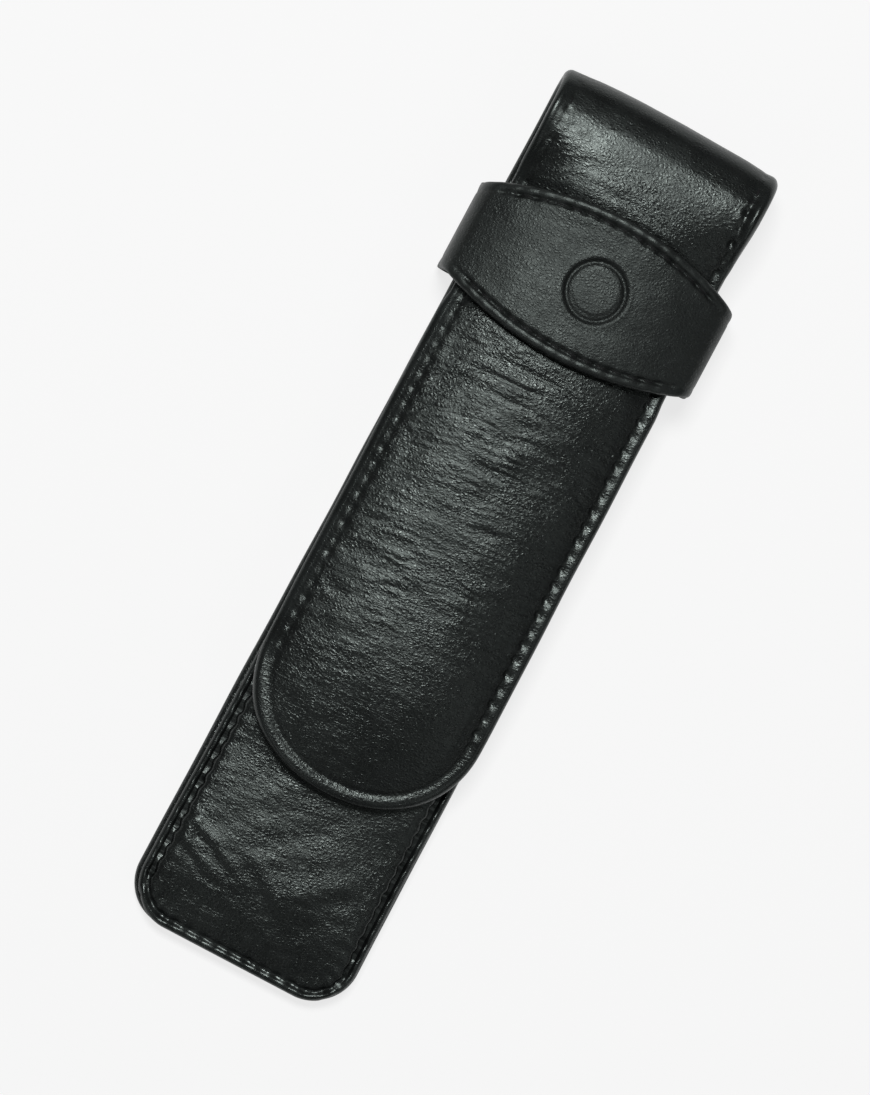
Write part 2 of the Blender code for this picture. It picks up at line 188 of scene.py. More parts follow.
def frontHeight(x, y):
    run = y + halfLength
    seam = halfWidth(run) - caseForm["frontStep"] - caseForm["seamMargin"]
    slope = caseForm["footSlope"]
    foot = np.maximum((caseForm["seamMargin"] + slope - run) / slope, 0.0)
    start = caseForm["emptiedFrom"]
    emptying = rises(halfLength - y, start, caseForm["emptiedTo"] - start)
    dome = caseForm["dome"] - caseForm["emptied"] * emptying
    wallPower, wall = caseForm["wallShape"]
    filled = domeShare(x / seam, *caseForm["domeShape"])
    empty = wall * domeShare(x / seam, wallPower) + (1.0 - wall) * domeShare(
        x / seam, caseForm["archPower"])
    dome = dome * (filled + (empty - filled) * emptying)
    return level(y) + seamTop + dome * domeShare(foot, caseForm["footPower"])


def flapHeight(x, y):
    grown = smoothStep((foldY - y) / crownRun) ** 1.6
    fall = caseForm["crown"] * grown * (abs(x) / caseForm["flapHalf"]) ** caseForm["crownPower"]
    low = tipFall(halfLength - y)
    return level(y) + 2 * foldRadius - fall - low - caseForm["tipTwist"] * low * x


def below(height, x, y, depth):
    # The point at a depth under a surface, measured square to it.
    step = 0.05 * mm
    slopeX = (height(x + step, y) - height(x - step, y)) / (2 * step)
    slopeY = (height(x, y + step) - height(x, y - step)) / (2 * step)
    long = np.sqrt(slopeX ** 2 + slopeY ** 2 + 1.0)
    return np.stack((x + slopeX / long * depth, y + slopeY / long * depth,
                     height(x, y) - depth / long), axis=-1)


def wobbled(points, run, seed):
    # A cut and turned edge is never quite straight.
    side = np.clip(points[:, 0] / caseForm["flapHalf"], -1.0, 1.0)
    lean = noiseAt(run / (17 * mm), np.sign(side), seed) * abs(side) ** 3
    points[:, 0] += caseForm["wobble"] * 2.0 * lean
    return points


def placeStrip(x, run, depth):
    y = run - halfLength
    onBack = np.stack((x, y, level(y) + depth), axis=-1)
    turn = (run - backRun) / foldRadius
    ends = caseForm["foldEnds"] * np.sin(np.clip(turn, 0.0, math.pi)) * (
        abs(x) / caseForm["topHalf"]) ** 4
    radius = foldRadius - depth - ends
    onFold = np.stack((x, foldY + radius * np.sin(turn), foldZ - radius * np.cos(turn)), axis=-1)
    down = run - flapStart + foldRadius
    spread = 1.0 + caseForm["spread"] * rises(down, *caseForm["spreadOver"])
    onFlap = below(flapHeight, x * spread, foldY - (run - flapStart), depth)
    onFlap[:, 0] += caseForm["drift"] * np.maximum(down - caseForm["driftFrom"], 0.0)
    points = np.where((run < backRun)[:, None], onBack, onFold)
    points = np.where((run > flapStart)[:, None], onFlap, points)
    return wobbled(points, run, 3)


def placeFront(x, run, depth):
    points = below(frontHeight, x, run - halfLength, depth)
    points[:, 0] += caseForm["squeeze"] * (1.0 - x / caseForm["footHalf"]) / 2
    return wobbled(points, run, 5)


def footLine(x, half, inset):
    radius = caseForm["footCorner"] - inset
    past = np.maximum(abs(x) - (half - radius), 0.0)
    return inset + radius - np.sqrt(np.maximum(radius * radius - past * past, 0.0))


# Spots of each panel: a row and a column share and the distance that the edge is drawn
# in give a place in the flat pattern

def backSpot(row, column, inset):
    top = backRun + foldRun / 2
    half = halfWidth(np.zeros_like(row)) - inset
    run = row * top + footLine(column * half, half, inset) * (1.0 - row) ** 3
    return column * (halfWidth(run) - inset), run


def flapSpot(row, column, inset):
    start = backRun + foldRun / 2
    power = caseForm["tonguePower"]
    rounded = 1.0 - (1.0 - abs(column) ** power) ** (1.0 / power)
    drawn = (caseForm["tongueDepth"] - inset) * rounded
    run = start + (flapTip - inset - start) * row - drawn * row ** 3
    return column * (halfWidth(run) - inset), run


def frontSpotTo(top):
    def spot(row, column, inset):
        half = halfWidth(np.zeros_like(row)) - caseForm["frontStep"] - inset
        start = footLine(column * half, half, inset)
        run = row * (top - inset) + start * (1.0 - row) ** 3
        return column * (halfWidth(run) - caseForm["frontStep"] - inset), run
    return spot


frontSpot = frontSpotTo(mouthRun)
footSeamShare = 1.10               # the front's seam runs a little farther in at the foot


def nearFoot(x, run):
    return falls(run, 2.5 * mm, 4.5 * mm) * falls(abs(x), 10.0 * mm, 5.5 * mm)


def frontSeamSpot(row, column, inset):
    x, run = frontSpot(row, column, inset)
    return x, run - inset * (1.0 - footSeamShare) * nearFoot(x, run)


# Mesh building

def makeObject(name, parts, faces, material, smoothAngle=50):
    # A part is points, and where it has a grain their places in the pattern and their wear.
    points, *grain = (np.concatenate(values) for values in zip(*parts))
    mesh = bpy.data.meshes.new(name)
    mesh.from_pydata([tuple(p) for p in points], [], faces)
    body = bmesh.new()
    body.from_mesh(mesh)
    bmesh.ops.recalc_face_normals(body, faces=body.faces)
    body.to_mesh(mesh)
    body.free()
    mesh.shade_smooth()
    mesh.set_sharp_from_angle(angle=math.radians(smoothAngle))
    kinds = (("patternPlace", "FLOAT_VECTOR", "vector"), ("edgeWear", "FLOAT", "value"))
    for (label, kind, field), values in zip(kinds, grain):
        attribute = mesh.attributes.new(label, kind, "POINT")
        attribute.data.foreach_set(field, np.asarray(values, np.float32).ravel())
    mesh.materials.append(material)
    piece = bpy.data.objects.new(name, mesh)
    bpy.context.scene.collection.objects.link(piece)
    return piece


def laid(place, x, run, depth, pattern=None, worn=0.0):
    # A part of a piece, laid on the case's form at a depth under the outer face.
    depth = depth + 0 * x
    pattern = depth if pattern is None else pattern + 0 * x
    return place(x, run, depth), np.stack((x, run, pattern), axis=-1), worn + 0 * x


def makeLine(x, run):
    # A line in the flat pattern that nearness and distance along it are asked of.
    long = np.concatenate(([0.0], np.cumsum(np.hypot(np.diff(x), np.diff(run)))))
    tree = kdtree.KDTree(len(x))
    for index, place in enumerate(zip(x, run)):
        tree.insert((*place, 0.0), index)
    tree.balance()
    return {"x": x, "run": run, "along": long, "tree": tree}


def nearLine(line, x, run):
    hits = [line["tree"].find((a, b, 0.0)) for a, b in zip(x, run)]
    return np.array([hit[2] for hit in hits]), line["along"][[hit[1] for hit in hits]]


def gridShares(rowCount, columnCount):
    # Rows are even, and columns crowd together towards both sides.
    rows, columns = (np.linspace(0.0, 1.0, count + 1) for count in (rowCount, columnCount))
    return rows, np.sin((columns - 0.5) * math.pi)


def gridOf(rows, columns):
    return (grid.ravel() for grid in np.meshgrid(rows, columns, indexing="ij"))


def goRound(left, end, right, start, turned):
    # The turned sides of a border in order, clockwise.
    if turned == "both":
        return left + end + right + start
    return left + end + right if turned == "end" else right + start + left


def borderOf(rows, columns, turned):
    # Numbers of a grid's border points, and their row and column shares.
    last, side = len(rows) - 1, len(columns) - 1
    loop = goRound([(i, 0) for i in range(last + 1)], [(last, j) for j in range(1, side)],
                   [(i, side) for i in range(last, -1, -1)],
                   [(0, j) for j in range(side - 1, 0, -1)], turned)
    i, j = np.array(loop).T
    return (i * (side + 1) + j).tolist(), rows[i], columns[j]


def lineAt(spot, inset, turned, fine=1500):
    shares, one = np.linspace(0.0, 1.0, fine), np.ones(fine)
    across = np.sin((shares - 0.5) * math.pi)
    sides = goRound([(shares, -one)], [(one, across)], [(shares[::-1], one)],
                    [(0 * one, -across)], turned)
    return makeLine(*spot(*(np.concatenate(values) for values in zip(*sides)), inset))


def gridFaces(first, rows, columns):
    index = first + np.arange(rows * columns).reshape(rows, columns)
    quads = np.stack((index[:-1, :-1], index[:-1, 1:], index[1:, 1:], index[1:, :-1]), axis=-1)
    return [tuple(q) for q in quads.reshape(-1, 4).tolist()]


def ringsFrom(first, count, size):
    return [list(range(first + k * size, first + (k + 1) * size)) for k in range(count)]


def ringFaces(rings, closed=True):
    faces = []
    for outer, inner in zip(rings, rings[1:]):
        for i in range(len(outer) if closed else len(outer) - 1):
            after = (i + 1) % len(outer)
            faces.append((outer[i], outer[after], inner[after], inner[i]))
    return faces


def tubeFaces(first, count, size):
    # A section that is swept along, with its two ends.
    rings = ringsFrom(first, count, size)
    return ringFaces(rings) + [tuple(rings[0]), tuple(rings[-1])]


def shellFaces(rows, columns, border, between):
    # Two grids that rings join at the border.
    size = (len(rows), len(columns))
    count = size[0] * size[1]
    rings = [border, *ringsFrom(2 * count, between, len(border)), [count + i for i in border]]
    return gridFaces(0, *size) + gridFaces(count, *size) + ringFaces(rings)


panelRings = {
    "gridEdge": 4.2 * mm,         # the inner grid's distance from the edge
    "flatRings": (3.8, 3.5, 3.25, 3.0, 2.75, 2.5, 2.25, 2.0, 1.8, 1.6, 1.4, 1.2, 1.0),
    "roundSteps": 12,
    "coarse": 3,                  # the hidden inner face has every third row and column
    "tuck": 0.2 * mm,             # how far the rim's end is turned in
    "innerEdge": 0.25 * mm,       # the inner face's distance from the rim's end
    "overLining": 0.1 * mm,       # and its height above the lining
    "wornFrom": 1.5 * mm,         # wear fades from this far inside the edge
    "wornOver": 0.7 * mm,
}


def rolledPanel(name, spot, place, form, look, material, seamSpot=None):
    # A leather panel: outer face, edge rolled over the whole stack, and hidden inner face.
    turned, thick, seamInset = look["turned"], look["thick"], look["seam"]
    closed = turned == "both"
    rows, columns = gridShares(look["rows"], look["columns"])
    outline = lineAt(spot, 0.0, turned)
    seam = lineAt(seamSpot or spot, seamInset, turned)
    border, loopRow, loopColumn = borderOf(rows, columns, turned)
    radius = thick / 2
    flat = [spot(*gridOf(rows, columns), panelRings["gridEdge"])]
    flat += [spot(loopRow, loopColumn, inset * mm) for inset in panelRings["flatRings"]
             if inset * mm > radius * 1.1]
    x, run = (np.concatenate(values) for values in zip(*flat))
    edge, _ = nearLine(outline, x, run)
    height = form(x, run, edge, *nearLine(seam, x, run))
    worn = bell(np.maximum(edge - panelRings["wornFrom"], 0.0), panelRings["wornOver"])
    parts = [laid(place, x, run, -height, 0.0, worn)]
    ringX, ringRun = spot(loopRow, loopColumn, radius)
    _, ringAlong = nearLine(seam, ringX, ringRun)
    for step in range(panelRings["roundSteps"] + 1):
        turn = math.pi * step / panelRings["roundSteps"]
        fading = math.cos(turn / 2) ** 2
        unrolled = np.full(len(border), radius - radius * turn)
        lift = fading * form(ringX, ringRun, unrolled, abs(seamInset - unrolled), ringAlong)
        ringInset = radius - (radius + lift) * math.sin(turn)
        ringDepth = radius - (radius + lift) * math.cos(turn)
        parts.append(laid(place, *spot(loopRow, loopColumn, ringInset), ringDepth, None, fading))
    for tuck in (0.0, panelRings["tuck"]):
        end = spot(loopRow, loopColumn, layers["rim"] + tuck)
        parts.append(laid(place, *end, thick - tuck))
    innerFirst = sum(len(part[0]) for part in parts)
    coarse = panelRings["coarse"]
    innerRows, innerColumns = rows[::coarse], columns[::coarse]
    inner = spot(*gridOf(innerRows, innerColumns), layers["rim"] + panelRings["innerEdge"])
    parts.append(laid(place, *inner, thick - layers["lining"] - panelRings["overLining"]))
    # faces
    gridCount = len(rows) * len(columns)
    rings = [border] + ringsFrom(gridCount, (innerFirst - gridCount) // len(border), len(border))
    faces = gridFaces(0, len(rows), len(columns)) + ringFaces(rings, closed)
    faces += gridFaces(innerFirst, len(innerRows), len(innerColumns))
    innerRing = [innerFirst + i for i in borderOf(innerRows, innerColumns, turned)[0]]
    fine = rings[-1]
    for index in range(len(innerRing) if closed else len(innerRing) - 1):
        near = [fine[(index * coarse + k) % len(fine)] for k in range(coarse + 1)]
        faces.append((*near, innerRing[(index + 1) % len(innerRing)], innerRing[index]))
    if not closed:
        # the end that goes on as the other half of the long strip
        leftAt, rightAt = (0, -1) if turned == "end" else (-1, 0)
        top, bottom = (
            list(range(first, first + size * count, size))[leftAt] for first, size, count in (
                (0, len(columns), len(rows)), (innerFirst, len(innerColumns), len(innerRows))))
        faces.append((*range(top, top + len(columns)), *(ring[rightAt] for ring in rings[1:]),
                      *reversed(range(bottom, bottom + len(innerColumns))),
                      *(ring[leftAt] for ring in reversed(rings[1:]))))
    return makeObject(name, parts, faces, material), seam


def layeredSheet(name, spot, place, near, material, counts=(120, 28), ripple=0.05 * mm):
    # A thin closed sheet with a soft edge, inside the turned edge of a panel.
    rows, columns = gridShares(*counts)
    thick, inset = layers["lining"], layers["rim"] + layers["gap"]
    border, loopRow, loopColumn = borderOf(rows, columns, "both")
    x, run = spot(*gridOf(rows, columns), inset + thick / 2)
    uneven = ripple * noiseAt(x / (6 * mm), run / (9 * mm), 17)
    parts = [laid(place, x, run, near + uneven, 0.0),
             laid(place, x, run, near + thick + uneven, 0.0),
             laid(place, *spot(loopRow, loopColumn, inset), near + thick / 2, 0.0)]
    return makeObject(name, parts, shellFaces(rows, columns, border, 1), material, smoothAngle=70)


# Seams: rolled rim, groove, holes pulled in by the thread, and puffs between them

seamLook = {
    "pitch": 2.8 * mm,
    "rimRise": 0.24 * mm,
    "rimAt": 1.25 * mm,
    "rimWidth": 0.64 * mm,
    "groove": 0.22 * mm,
    "grooveWidth": 0.50 * mm,
    "hole": 0.60 * mm,
    "holeWidth": 0.58 * mm,       # across the seam
    "holeLength": 0.72 * mm,      # along it
    "puff": 0.27 * mm,
    "puffAt": 0.95 * mm,          # outside the seam
    "puffWidth": 0.62 * mm,
    "pucker": 0.14 * mm,
    "puckerReach": 2.0 * mm,
    "uneven": 0.45,               # how much one stitch differs from the next
}
keeperSeamLook = {**seamLook, "rimRise": 0.20 * mm, "rimAt": 0.75 * mm, "rimWidth": 0.42 * mm,
                  "groove": 0.30 * mm, "grooveWidth": 0.42 * mm, "hole": 0.30 * mm,
                  "holeWidth": 0.45 * mm, "puff": 0.07 * mm, "pucker": 0.05 * mm}
frontSeamLook = {**seamLook, "rimRise": 0.16 * mm, "rimAt": 0.85 * mm, "rimWidth": 0.45 * mm,
                 "groove": 0.36 * mm, "hole": 0.42 * mm, "puffAt": 0.58 * mm,
                 "puffWidth": 0.58 * mm, "pucker": 0.30 * mm, "puckerReach": 1.5 * mm}
footSeamLook = {**frontSeamLook, "rimRise": 0.05 * mm, "groove": 0.10 * mm, "hole": 0.45 * mm,
                "puff": 0.20 * mm, "puffAt": 0.85 * mm, "puffWidth": 0.80 * mm,
                "pucker": 0.06 * mm}


def seamForm(edge, seamFar, along, inset, look=seamLook, beads=1.0, rimShare=1.0, rimWide=1.0,
             puffs=1.0, grooves=1.0, rimOut=0.0):
    phase = along / look["pitch"]
    toHole = abs(phase - np.round(phase)) * look["pitch"]
    swell = 0.5 - 0.5 * np.cos(2 * math.pi * phase)
    varied = 1.0 + look["uneven"] * 2.0 * noiseAt(phase * 0.9, 0 * phase, 23)
    rim = look["rimRise"] * rimShare * bell(
        edge - look["rimAt"] + rimOut, look["rimWidth"] * rimWide)
    groove = look["groove"] * grooves * bell(seamFar, look["grooveWidth"])
    hole = look["hole"] * bell(seamFar, look["holeWidth"]) * bell(toHole, look["holeLength"])
    puff = look["puff"] * puffs * swell * bell(edge - inset + look["puffAt"], look["puffWidth"])
    inner = np.maximum(edge - inset, 0.0)
    pucker = look["pucker"] * (swell - 0.5) * np.exp(-inner / look["puckerReach"]) * (
        smoothStep(inner / (0.8 * mm)))
    return rim - groove + beads * varied * (puff + pucker - hole)


threadLook = {
    "radius": 0.20 * mm,
    "lie": 0.42 * mm,             # depth of the thread's middle under the plain surface
    "dip": 0.85 * mm,             # depth at its holes
    "length": 0.74,               # share of the pitch that one stitch covers
    "sides": 7,
    "steps": 9,
    "twist": 2.3,                 # turns of the strands in one stitch
    "strand": 0.16,               # how far the strands stand out
    "slant": 0.10 * mm,           # of a stitch across the seam
}
threadSunk = {                    # how much deeper the stitches lie in each piece
    "flap": 0.06 * mm,
    "tongue": 0.45 * mm,          # added to the flap's
    "back": 0.12 * mm,
    "front": 0.30 * mm,
    "keeper": 0.30 * mm,          # where the band turns down
    "strap": 0.25 * mm,
}


def threadPiece(name, line, place, first, last, sunk):
    # Separate stitches along a line, each dipping into its holes, and sunk deeper.
    look = threadLook
    pitch = seamLook["pitch"]
    holes = np.arange(math.ceil(first / pitch), math.floor(last / pitch)) * pitch
    share = np.linspace(0.0, 1.0, look["steps"])
    s = holes[:, None] + pitch * (0.5 + (share[None, :] - 0.5) * look["length"])
    depth = look["lie"] + (look["dip"] - look["lie"]) * abs(2 * share - 1.0) ** 5
    depth = depth + (sunk(s) if callable(sunk) else sunk + 0.0 * s)
    flat = s.ravel()
    x = np.interp(flat, line["along"], line["x"])
    run = np.interp(flat, line["along"], line["run"])
    slant = look["slant"] * (np.broadcast_to(share, s.shape).ravel() - 0.5) * 2.0
    stepX = np.gradient(x) + 1e-12
    stepRun = np.gradient(run)
    size = np.hypot(stepX, stepRun)
    x = x + slant * stepRun / size
    run = run - slant * stepX / size
    centre = place(x, run, depth.ravel()).reshape(*s.shape, 3)
    lifted = place(x, run, depth.ravel() - 0.1 * mm).reshape(*s.shape, 3)
    ahead = unit(np.gradient(centre, axis=1))
    side = unit(np.cross(ahead, unit(lifted - centre)))
    up = np.cross(side, ahead)
    angle = 2 * math.pi * np.arange(look["sides"]) / look["sides"]
    turned = 2 * math.pi * look["twist"] * share
    bulge = 1.0 + look["strand"] * np.cos(2 * (angle[None, :] - turned[:, None]))
    slim = np.sqrt(np.clip(1.0 - abs(2 * share - 1.0) ** 8, 0.12, 1.0))
    radius = look["radius"] * bulge * slim[:, None]
    ring = (centre[:, :, None, :]
            + side[:, :, None, :] * (radius * np.cos(angle))[None, :, :, None]
            + up[:, :, None, :] * (radius * np.sin(angle))[None, :, :, None])
    stitch = look["steps"] * look["sides"]
    faces = []
    for first in range(0, len(holes) * stitch, stitch):
        faces += tubeFaces(first, look["steps"], look["sides"])
    return makeObject(name, [(ring.reshape(-1, 3),)], faces, blackThread, smoothAngle=60)


# Node groups that the materials share

def feed(tree, socket, value):
    # Links an output to an input, or sets the input to a fixed value.
    if isinstance(value, bpy.types.NodeSocket):
        tree.links.new(value, socket)
    elif value is not None:
        socket.default_value = value


def feedAll(tree, inputs, **named):
    for key, value in named.items():
        feed(tree, inputs[key.replace("_", " ")], value)


def addNode(tree, kind, settings=None, *values, **named):
    node = tree.nodes.new("ShaderNode" + kind)
    for key, value in (settings or {}).items():
        setattr(node, key, value)
    for index, value in enumerate(values):
        feed(tree, node.inputs[index], value)
    feedAll(tree, node.inputs, **named)
    return node


def mathNode(tree, operation, a, b=None):
    return addNode(tree, "Math", {"operation": operation}, a, b).outputs[0]


def vectorNode(tree, operation, *values, **named):
    return addNode(tree, "VectorMath", {"operation": operation}, *values, **named).outputs[0]


def rangeNode(tree, value, fromMin, fromMax, toMin, toMax, kind="SMOOTHSTEP"):
    return addNode(tree, "MapRange", {"interpolation_type": kind}, value,
                   fromMin, fromMax, toMin, toMax).outputs["Result"]


def noiseNode(tree, place, scale, detail):
    return addNode(tree, "TexNoise", Vector=place, Scale=scale, Detail=detail).outputs["Fac"]


def newGroup(name, values, *outputs):
    # Each group takes a place in the pattern and the values that its material gives it.
    group = bpy.data.node_groups.new(name, "ShaderNodeTree")
    addSocket = group.interface.new_socket
    addSocket(name="Place", in_out="INPUT", socket_type="NodeSocketVector")
    for label, value in values.items():
        socket = addSocket(name=label, in_out="INPUT", socket_type="NodeSocketFloat")
        socket.default_value = value
    for label in outputs:
        addSocket(name=label, in_out="OUTPUT", socket_type="NodeSocketFloat")
    given, made = (group.nodes.new(kind) for kind in ("NodeGroupInput", "NodeGroupOutput"))
    return group, made.inputs, *(given.outputs[label] for label in ("Place", *values))


def pebbleGroup():
    # Pebbled grain of soft leather: rounded cells, smaller cells in them, and pores.
    group, made, place, count = newGroup(
        "pebbleGrain", {"Cells Per Metre": 1500.0}, "Height", "Valley")
    bend = addNode(group, "TexNoise", Vector=place, Detail=2.0,
                   Scale=mathNode(group, "MULTIPLY", count, 0.45))
    centred = vectorNode(group, "SUBTRACT", bend.outputs["Color"], (0.5, 0.5, 0.5))
    scaled = vectorNode(group, "SCALE", centred, Scale=mathNode(group, "DIVIDE", 1.1, count))
    longer = vectorNode(group, "MULTIPLY", place, (0.74, 1.0, 1.0))
    warped = vectorNode(group, "ADD", longer, scaled)
    caps = []
    for factor, reach in ((1.0, 0.40), (2.3, 0.34)):      # cell count, and width of the slope
        cells = addNode(group, "TexVoronoi", {"feature": "DISTANCE_TO_EDGE"}, Vector=warped,
                        Scale=mathNode(group, "MULTIPLY", count, factor))
        caps.append(rangeNode(group, cells.outputs["Distance"], 0.0, reach, 0.0, 1.0))
    pores = noiseNode(group, place, mathNode(group, "MULTIPLY", count, 4.0), 3.0)
    small = mathNode(group, "MULTIPLY", caps[1], 0.34)
    fine = mathNode(group, "MULTIPLY", pores, 0.12)
    # Valley masks the grain's hollows, which the materials make rougher and colour darker as
    # painted shade
    feedAll(group, made, Valley=mathNode(group, "SUBTRACT", 1.0, caps[0]),
            Height=mathNode(group, "ADD", mathNode(group, "ADD", caps[0], small), fine))
    return group


def creaseGroup():
    # Fine creases that run across the strip, where the leather has been bent.
    group, made, place, count = newGroup("fineCreases", {"Lines Per Metre": 520.0}, "Height")
    stretched = vectorNode(group, "MULTIPLY", place, (0.32, 1.0, 1.0))
    folds = addNode(group, "TexNoise", Vector=stretched, Scale=count, Detail=2.5, Roughness=0.55,
                    Distortion=0.7)
    ridge = mathNode(group, "ABSOLUTE", mathNode(group, "SUBTRACT", folds.outputs["Fac"], 0.5))
    cap = rangeNode(group, ridge, 0.0, 0.17, 0.0, 1.0)
    patch = rangeNode(group, noiseNode(group, place, 95.0, 2.0), 0.38, 0.66, 0.15, 1.0)
    feed(group, made["Height"], mathNode(group, "MULTIPLY", cap, patch))
    return group


def wearGroup():
    # Wear of the raised edges, rubbed in patches, and the share of the relief that it leaves.
    group, made, place, wear, flattening = newGroup(
        "edgeRubbing", {"Wear": 0.0, "Flattening": 0.5}, "Clouds", "Rubbed", "Relief Left")
    clouds = noiseNode(group, place, 140.0, 3.0)
    patches = rangeNode(group, clouds, 0.40, 0.62, 0.10, 0.70)
    flattened = mathNode(group, "MULTIPLY", wear, flattening)
    feedAll(group, made, Clouds=clouds, Rubbed=mathNode(group, "MULTIPLY", wear, patches),
            Relief_Left=mathNode(group, "SUBTRACT", 1.0, flattened))
    return group


def weaveGroup():
    # Plain weave of a thin lining.
    group, made, place, count = newGroup(
        "liningWeave", {"Threads Per Metre": 2600.0}, "Height", "Thread")
    split = addNode(group, "SeparateXYZ", None, place)
    waves = []
    for axis in ("X", "Y"):
        phase = mathNode(group, "MULTIPLY", split.outputs[axis], count)
        waves.append(mathNode(group, "SINE", mathNode(group, "MULTIPLY", phase, math.pi)))
    crossed = mathNode(group, "MULTIPLY", *waves)
    feedAll(group, made, Height=crossed,
            Thread=rangeNode(group, crossed, -1.0, 1.0, 0.0, 1.0, "LINEAR"))
    return group


pebbleGrain = pebbleGroup()
fineCreases = creaseGroup()
edgeRubbing = wearGroup()
liningWeave = weaveGroup()


# Materials

def newMaterial(name):
    material = bpy.data.materials.new(name)
    material.use_nodes = True
    tree = material.node_tree
    return material, tree, tree.nodes["Principled BSDF"].inputs


def placeNode(tree):
    return addNode(tree, "Attribute", {"attribute_name": "patternPlace"}).outputs["Vector"]


def bumpNode(tree, height, distance, normal=None):
    return addNode(tree, "Bump", Height=height, Distance=distance, Normal=normal).outputs["Normal"]


def mixColour(tree, share, first, second):
    node = addNode(tree, "Mix", {"data_type": "RGBA"}, share)
    for index, value in ((6, first), (7, second)):
        feed(tree, node.inputs[index], (*value, 1.0) if isinstance(value, tuple) else value)
    return node.outputs[2]


foldStretch = {
    "from": backRun - 6 * mm,
    "to": flapStart + 5 * mm,
    "fade": 5 * mm,
    "left": 0.50,                 # share of the relief that is left there
}
leatherTint = (0.88, 1.0, 0.95)      # the gloss is faintly green

outerLeather = {
    "colour": (0.0052, 0.0052, 0.0056),
    # painted shade: the grain's valleys get this darker colour, where shade falls in them
    "valley": (0.0026, 0.0028, 0.0028),
    "worn": (0.010, 0.0112, 0.0112),
    "cells": 1900.0,              # of the grain, in a metre
    "grain": 0.034 * mm,          # its height
    "valleyRough": 0.10,          # what its valleys add to the roughness
    "wornSmooth": 0.08,           # and what wear takes from it
    "wornFlat": 0.55,             # share of the relief that wear takes away
}
leatherFinishes = {
    "strip": {**outerLeather, "stretched": True, "creases": 0.034 * mm, "lines": 820.0,
              "rough": (0.21, 0.28)},
    "front": {**outerLeather, "cells": 1800.0, "creases": 0.030 * mm, "lines": 380.0,
              "rough": (0.22, 0.30)},
    "keeper": {**outerLeather, "colour": (0.0054, 0.0054, 0.0058), "worn": (0.009, 0.010, 0.010),
               "cells": 2000.0, "creases": 0.025 * mm, "lines": 420.0, "rough": (0.34, 0.42)},
    # the thin leather's valley colour is painted shade in its grain too
    "thin": {**outerLeather, "colour": (0.016, 0.016, 0.017), "valley": (0.009, 0.009, 0.010),
             "worn": (0.024, 0.024, 0.025), "grain": 0.022 * mm, "creases": 0.012 * mm,
             "lines": 420.0, "rough": (0.55, 0.70)},
}


def leatherMaterial(name, finish):
    material, tree, shader = newMaterial(name)
    place = placeNode(tree)
    pebbles = addNode(tree, "Group", {"node_tree": pebbleGrain}, place, finish["cells"]).outputs
    creases = addNode(tree, "Group", {"node_tree": fineCreases}, place, finish["lines"]).outputs
    wear = addNode(tree, "Attribute", {"attribute_name": "edgeWear"}).outputs["Fac"]
    worn = addNode(tree, "Group", {"node_tree": edgeRubbing}, place, wear,
                   finish["wornFlat"]).outputs
    # painted shade: the colour darkens in the grain's valleys
    base = mixColour(tree, pebbles["Valley"], finish["colour"], finish["valley"])
    rough = rangeNode(tree, worn["Clouds"], 0.35, 0.65, *finish["rough"])
    rough = mathNode(tree, "ADD", rough, mathNode(
        tree, "MULTIPLY", pebbles["Valley"], finish["valleyRough"]))
    smoother = mathNode(tree, "MULTIPLY", worn["Rubbed"], finish["wornSmooth"])
    reliefs = [mathNode(tree, "MULTIPLY", group["Height"], worn["Relief Left"])
               for group in (creases, pebbles)]
    if finish.get("stretched"):
        # the relief is drawn flat where the strip bends round the top
        along = addNode(tree, "SeparateXYZ", None, place).outputs["Y"]
        start, end, fade = foldStretch["from"], foldStretch["to"], foldStretch["fade"]
        middle, half = (start + end) / 2, (end - start) / 2
        away = mathNode(tree, "ABSOLUTE", mathNode(tree, "SUBTRACT", along, middle))
        flat = rangeNode(tree, away, half - fade, half + fade, foldStretch["left"], 1.0)
        reliefs = [mathNode(tree, "MULTIPLY", relief, flat) for relief in reliefs]
    normal = bumpNode(tree, reliefs[0], finish["creases"])
    feedAll(tree, shader, Base_Color=mixColour(tree, worn["Rubbed"], base, finish["worn"]),
            Roughness=mathNode(tree, "SUBTRACT", rough, smoother),
            Normal=bumpNode(tree, reliefs[1], finish["grain"], normal),
            Specular_Tint=(*leatherTint, 1.0))
    return material


clothFinish = {"dark": (0.012, 0.012, 0.014), "light": (0.024, 0.024, 0.027),
               "rough": (0.62, 0.82), "relief": 0.03 * mm}
threadFinish = {"dark": (0.004, 0.004, 0.004), "light": (0.010, 0.010, 0.011),
                "rough": (0.66, 0.82), "relief": 0.02 * mm}


def finishFibres(tree, shader, finish, colours, clouds, height, **others):
    feedAll(tree, shader, Base_Color=mixColour(tree, colours, finish["dark"], finish["light"]),
            Roughness=rangeNode(tree, clouds, 0.3, 0.7, *finish["rough"]),
            Normal=bumpNode(tree, height, finish["relief"]), **others)


def liningMaterial():
    material, tree, shader = newMaterial("liningCloth")
    place = placeNode(tree)
    weave = addNode(tree, "Group", {"node_tree": liningWeave}, place).outputs
    finishFibres(tree, shader, clothFinish, weave["Thread"], noiseNode(tree, place, 260.0, 3.0),
                 weave["Height"], Sheen_Weight=0.25)
    return material


def threadMaterial():
    material, tree, shader = newMaterial("blackThread")
    where = addNode(tree, "TexCoord").outputs["Object"]
    fibres = noiseNode(tree, where, 9000.0, 2.0)
    finishFibres(tree, shader, threadFinish, fibres, fibres, fibres, Specular_IOR_Level=0.2)
    return material


stripLeather, frontLeather, keeperLeather, thinLeather = (
    leatherMaterial(kind + "Leather", finish) for kind, finish in leatherFinishes.items())
liningCloth = liningMaterial()
blackThread = threadMaterial()
print("materials made")


# How the leather creases

